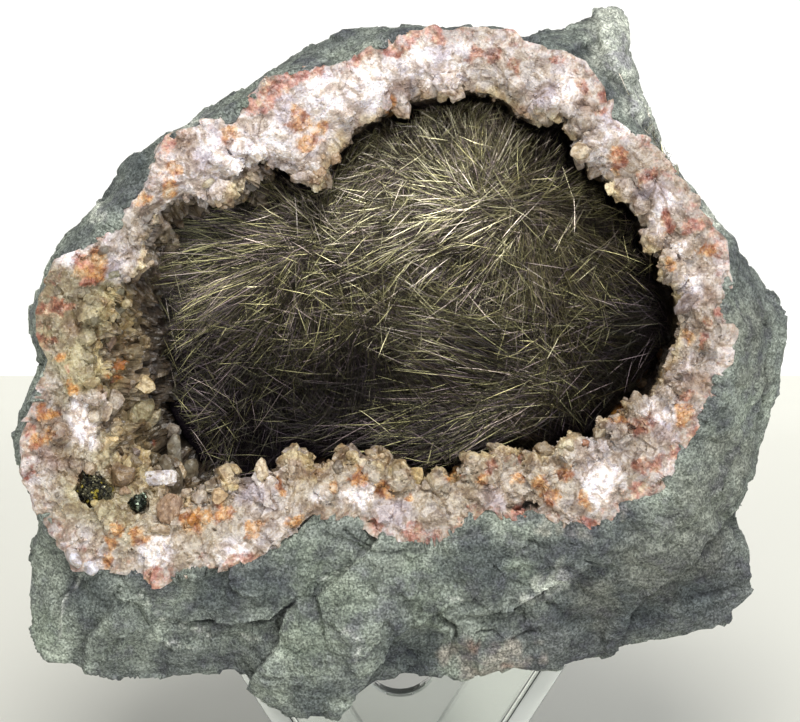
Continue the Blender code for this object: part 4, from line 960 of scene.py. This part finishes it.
def makeHair():
    points, _, triangles, _ = arraysOf(nodeMesh("millerite_hair"))
    depthAt = depthReader(*(treeOf(*arraysOf(nodeMesh(node))[::2][:2])
                            for node in ("millerite_hair", "quartz_crust", "host_rock")))
    rng = np.random.default_rng(hair["seed"])

    middle = points.mean(0)
    bed = middle + (points - middle) * np.array([0.97, 0.9, 0.97]) + np.array([0, hair["layer"], 0])
    bm = bmesh.new()
    verts = [bm.verts.new(p) for p in toWorld(bed)]
    for t in triangles:
        bm.faces.new([verts[i] for i in t])
    refine(bm, lambda middles, facing: np.where(facing[:, 1] < 0, 1.0, 6.0), 5)
    bed, bedNormals, bedTriangles, _ = arraysOf(bm)
    bed = bed + bedNormals * (0.8 * softNoise(bed, 2.2, 81) + 0.35 * softNoise(bed, 0.9, 82))[:, None]
    finish = bedMaterial()
    addPiece("milleriteBed", bed, bedTriangles, finish, smooth=True, node="millerite_hair")

    def faceAt(x, z):
        flat = np.stack((x, 0 * x, z), 1)
        return depthAt(x, z) + hair["swell"] * (softNoise(flat, 6.5, 83) + 0.5 * softNoise(flat, 3, 84))

    def paintedLightAt(x, z):
        light = np.ones(len(x))
        for spotX, spotZ, radius, darker in hair["shade"]:
            light *= 1 - darker * np.exp(-((x - spotX) ** 2 + (z - spotZ) ** 2) / radius**2)
        return light

    # Hairs from where they start, the bearing and length as seen, and how deep both ends lie
    def lay(x, z, turn, length, depths, places, bow):
        for _ in range(3):
            beyond = np.isnan(depthAt(x + np.cos(turn) * length, z + np.sin(turn) * length))
            length = np.where(beyond, length * 0.55, length)
        start = np.stack((x, faceAt(x, z) + depths[0], z), 1)
        endX, endZ = x + np.cos(turn) * length, z + np.sin(turn) * length
        end = np.stack((endX, faceAt(endX, endZ) + depths[1], endZ), 1)
        bend = (rng.normal(0, bow, len(x)) * length)[:, None]
        aside = np.stack((-np.sin(turn), rng.normal(0, 0.5, len(x)), np.cos(turn)), 1)
        mid = (start + end) / 2 + bend * aside
        path = np.stack([start * (1 - t) ** 2 + 2 * mid * t * (1 - t) + end * t * t
                         for t in hair["stops"][places]], 1)
        return path[~np.isnan(path).any((1, 2))]

    batches = {places: [] for places in hair["stops"]}

    def keep(path, bright):  # some of the hairs, fewer where the mat is in painted shade, which also darkens their brightness
        seen = path[:, 1]
        light = paintedLightAt(seen[:, 0], seen[:, 2])
        left = rng.random(len(path)) < 0.7 + 0.3 * light
        bright = (0.12 + 1.3 * rng.random(len(path)) ** 2 * bright) * light
        thickness = rng.uniform(*hair["thickness"], len(path)) * (0.8 + 0.4 * bright)
        batches[path.shape[1]].append((path[left], bright[left], thickness[left]))

    layer = hair["layer"]
    for x, z, reach, count, bright, bearing, spread in hair["sprays"]:
        for places, part in ((3, 0.62), (4, 0.38)):
            some = int(count * part)
            turn = rng.uniform(0, 2 * math.pi, some)
            if bearing is not None:
                turn = math.radians(bearing) + rng.normal(0, math.radians(spread), some)
            out = reach * 0.72 * rng.random(some) ** 0.8
            jitter = rng.normal(0, 0.05 * reach + 0.12 * out, (2, some))
            length = reach * rng.uniform(0.25, 0.62, some)
            depths = layer * rng.uniform(0.25, 1, some), layer * (rng.random(some) ** 1.3 * 0.9 - 0.12)
            path = lay(x + np.cos(turn) * out + jitter[0], z + np.sin(turn) * out + jitter[1],
                       turn + rng.normal(0, 0.24, some), length, depths, places, 0.05)
            keep(path, bright * 1.1)
    for count, lengths, bright, places in hair["loose"]:
        x, z = (rng.uniform(*ends, count) for ends in hair["ends"])
        turn = rng.uniform(0, 2 * math.pi, count)
        length = rng.uniform(*lengths, count)
        depths = layer * rng.uniform(0, 0.9, count), layer * rng.uniform(-0.2, 0.4, count)
        keep(lay(x, z, turn, length, depths, places, 0.04), bright)

    finish = needleMaterial()
    piece, total = 1, 0
    for places, batch in batches.items():
        path, bright, thickness = (np.concatenate(part) for part in zip(*batch))
        order = rng.permutation(len(path))
        perPiece = hair["perPiece"] // (6 * (places - 2))
        total += len(path)
        for k in range(0, len(path), perPiece):
            chosen = order[k:k + perPiece]
            made, faces, each = needles(path[chosen], thickness[chosen])
            warmth = np.repeat(0.9 * (rng.random(len(chosen)) < hair["brownShare"]), each)
            # Painted shade towards each hair's root, deep in the mat, and painted light towards its tip
            rootShadeTipLight = np.interp(np.arange(each), [0, each - 1], [0.7, 1.25])
            tint = hairColour(np.repeat(bright[chosen], each), warmth)
            tint *= np.tile(rootShadeTipLight, len(chosen))[:, None]
            addPiece(f"milleriteHair{piece}", made, faces, finish, {"tint": tint})
            piece += 1
    print("millerite:", total, "hairs")


makeHair()


# Sulphide clusters: small blocky metallic crystals, some of them brassy in one and green-black in the other.
# Their scattered bright grains are painted glints, and in the brassy cluster those along a streak are its own
# brassy colour.
sulphides = {
    "brassy_sulphide": {
        "piece": "brassySulphide", "count": 900, "sizes": (0.1, 0.36), "dark": 0x2C2B26, "mid": 0x6C6952,
        "bright": 0xCDBB52, "brightShare": 0.016, "brightFrom": -47.0, "seed": 4},
    "dark_sulphide": {
        "piece": "darkSulphide", "count": 220, "sizes": (0.14, 0.4), "dark": 0x1A221C, "mid": 0x2C3A30,
        "bright": 0x7C8878, "brightShare": 0.06, "brightFrom": -60.0, "seed": 6},
}


# Metallic faces, dulled in places by tarnish
def sulphideMaterial(node):
    made, tree, where = newMaterial("Metallic " + node.replace("_", " "))
    tarnish = noiseNode(tree, where, 0.5, 3.0), 0.8, [(0, 0x565656), (1, 0xFFFFFF)]
    colour = shaded(tree, layerNode(tree, "tint"), [tarnish])
    finishMaterial(tree, {"Base Color": colour, "Metallic": 0.7, "Roughness": 0.35})
    return made


def makeSulphide(node):
    values = sulphides[node]
    points, _, triangles, _ = arraysOf(nodeMesh(node))
    middle = points.mean(0)
    points = middle + (points - middle) * 0.74
    points += 0.5 * np.stack([softNoise(points, 1.3, 95 + k) for k in range(3)], 1)
    rng = np.random.default_rng(values["seed"])
    roots, _ = scatter(points, triangles, np.ones(len(triangles)), values["count"], rng)
    made, faces = grains(roots, rng.uniform(*values["sizes"], len(roots)), rng)
    chance = rng.random((len(roots), 1))
    veined = (roots[:, :1] > values["brightFrom"]) & (softNoise(roots, 0.8, 98)[:, None] > 0.2)
    bright = chance < values["brightShare"] * (1 + 50 * veined)
    plain = np.where(chance < 0.55, linear(values["mid"]), linear(values["dark"]))
    colours = np.where(bright, linear(values["bright"]), plain)
    colours = colours * rng.uniform(0.6, 1.35, (len(roots), 1))
    body = np.tile(linear(values["dark"]) * 0.6, (len(points), 1))
    tint = np.concatenate((body, np.repeat(colours, 6, 0)))
    triangles = np.concatenate((triangles, faces + len(points)))
    points = np.concatenate((points, made))
    addPiece(values["piece"], points, triangles, sulphideMaterial(node), {"tint": tint}, node=node)


for node in sulphides:
    makeSulphide(node)
print("sulphides done")


# Stand: clear cast acrylic sheet, laser cut, with polished edges
stand = {"edge": 0.35, "nodes": ["stand_base", "stand_left_wall", "stand_right_wall", "stand_cross_plate"]}


# Cast acrylic is clear, and fine handling marks soften what it reflects. Its cut edges are pale and hazy.
def acrylicMaterial(name, roughest, clear):
    made, tree, where = newMaterial(name)
    marks = noiseNode(tree, where, 6, 5.0)
    rough = addNode(tree, "MapRange", inputs={"Value": marks, "To Min": 0.01, "To Max": roughest})
    finishMaterial(tree, {"Base Color": rgba(0xF6FAF7), "Roughness": rough.outputs[0], "IOR": 1.491,
                          "Transmission Weight": clear})
    return made


def makeStand():
    sheet = acrylicMaterial("Clear cast acrylic", 0.06, 1.0)
    edges = acrylicMaterial("Cut edge of acrylic", 0.4, 0.7)
    for node in stand["nodes"]:
        bm = nodeMesh(node)
        bmesh.ops.dissolve_limit(bm, angle_limit=math.radians(1), verts=bm.verts, edges=bm.edges)
        sharp = [e for e in bm.edges if e.calc_face_angle(0) > math.radians(30)]
        bmesh.ops.bevel(bm, geom=sharp, offset=stand["edge"] / 1000, segments=2, affect="EDGES", profile=0.5)
        first, *words = node.split("_")
        mesh = bpy.data.meshes.new(node)
        sheetSide = max(bm.faces, key=lambda face: face.calc_area()).normal.copy()
        for face in bm.faces:
            face.material_index = int(abs(face.normal.dot(sheetSide)) < 0.5)
        bm.to_mesh(mesh)
        bm.free()
        mesh.materials.append(sheet)
        mesh.materials.append(edges)
        placePiece(first + "".join(map(str.title, words)), mesh, node)


makeStand()
print("stand done")


# Room: a plain pale floor that sweeps up into a low white back, and soft light from above and in front
room = {
    "floor": 0xE6E6DE, "back": 0xFFFFFF,
    # mm, how far the floor reaches to the front and the back, the radius of its sweep, and the back's height
    "frontReach": 900, "floorBack": 245, "sweep": 30, "backHeight": 115, "width": 1400,
    "steps": 8,  # faces of the sweep, of which the upper ones are white
    "under": 0.3,  # mm from the stand down to the floor, so that light comes out of the clear base
    "worldStrength": 0.45,
    # name: (place in mm, aim in mm, size in mm, watts, colour)
    "lights": {
        "key": ((0, -380, 620), (0, 0, 60), 300, 4.2, 0xFFFDF8),
        "fill": ((380, -520, 300), (0, 0, 60), 420, 1.5, 0xF4F8FF),
    },
}


def cardMaterial(name, colour):  # matt card, which takes soft shadows and gives no gloss
    made, tree, where = newMaterial(name)
    bump = bumpNode(tree, noiseNode(tree, where, 3, 4.0), 0.1, 0.2)
    finishMaterial(tree, {"Base Color": rgba(colour), "Roughness": 0.9, "Normal": bump})
    return made


def makeRoom():
    profile = [(-room["frontReach"], 0)]
    for k in range(room["steps"] + 1):
        turn = k / room["steps"] * math.pi / 2
        profile.append((room["floorBack"] - room["sweep"] + room["sweep"] * math.sin(turn),
                        room["sweep"] * (1 - math.cos(turn))))
    profile.append((room["floorBack"], room["backHeight"]))
    half = room["width"] / 2
    points = [(x / 1000, y / 1000, (z - room["under"]) / 1000) for y, z in profile for x in (-half, half)]
    faces = [(2 * k, 2 * k + 1, 2 * k + 3, 2 * k + 2) for k in range(len(profile) - 1)]
    mesh = bpy.data.meshes.new("paperSweep")
    mesh.from_pydata(points, [], faces)
    mesh.polygons.foreach_set("use_smooth", [True] * len(faces))
    mesh.materials.append(cardMaterial("Cream card", room["floor"]))
    mesh.materials.append(cardMaterial("White card", room["back"]))
    mesh.polygons.foreach_set("material_index", [int(k > room["steps"] / 2) for k in range(len(faces))])
    floor = newObject("paperSweep", mesh)
    for name, (place, aim, size, watts, colour) in room["lights"].items():
        light = bpy.data.lights.new(name, "AREA")
        light.size, light.energy, light.color = size / 1000, watts, linear(colour)
        lamp = newObject(name, light)
        lamp.location = Vector(place) / 1000
        lamp.rotation_euler = (Vector(aim) / 1000 - lamp.location).to_track_quat("-Z", "Y").to_euler()
    world = bpy.data.worlds.new("soft white room")
    world.use_nodes = True
    world.node_tree.nodes["Background"].inputs["Color"].default_value = rgba(0xFFFFFF)
    world.node_tree.nodes["Background"].inputs["Strength"].default_value = room["worldStrength"]
    bpy.context.scene.world = world


def makeCamera():
    camera = bpy.data.cameras.new("camera")
    camera.lens, camera.sensor_width = display["lens"], 36
    camera.clip_start = 0.01
    thing = newObject("camera", camera)
    thing.location = toWorld([(0, -display["eye"], 0)])[0]
    thing.rotation_euler = (math.radians(90) - lean, 0, 0)
    bpy.context.scene.camera = thing


makeRoom()
makeCamera()
bpy.context.scene.view_settings.view_transform = "Standard"
print("room done")
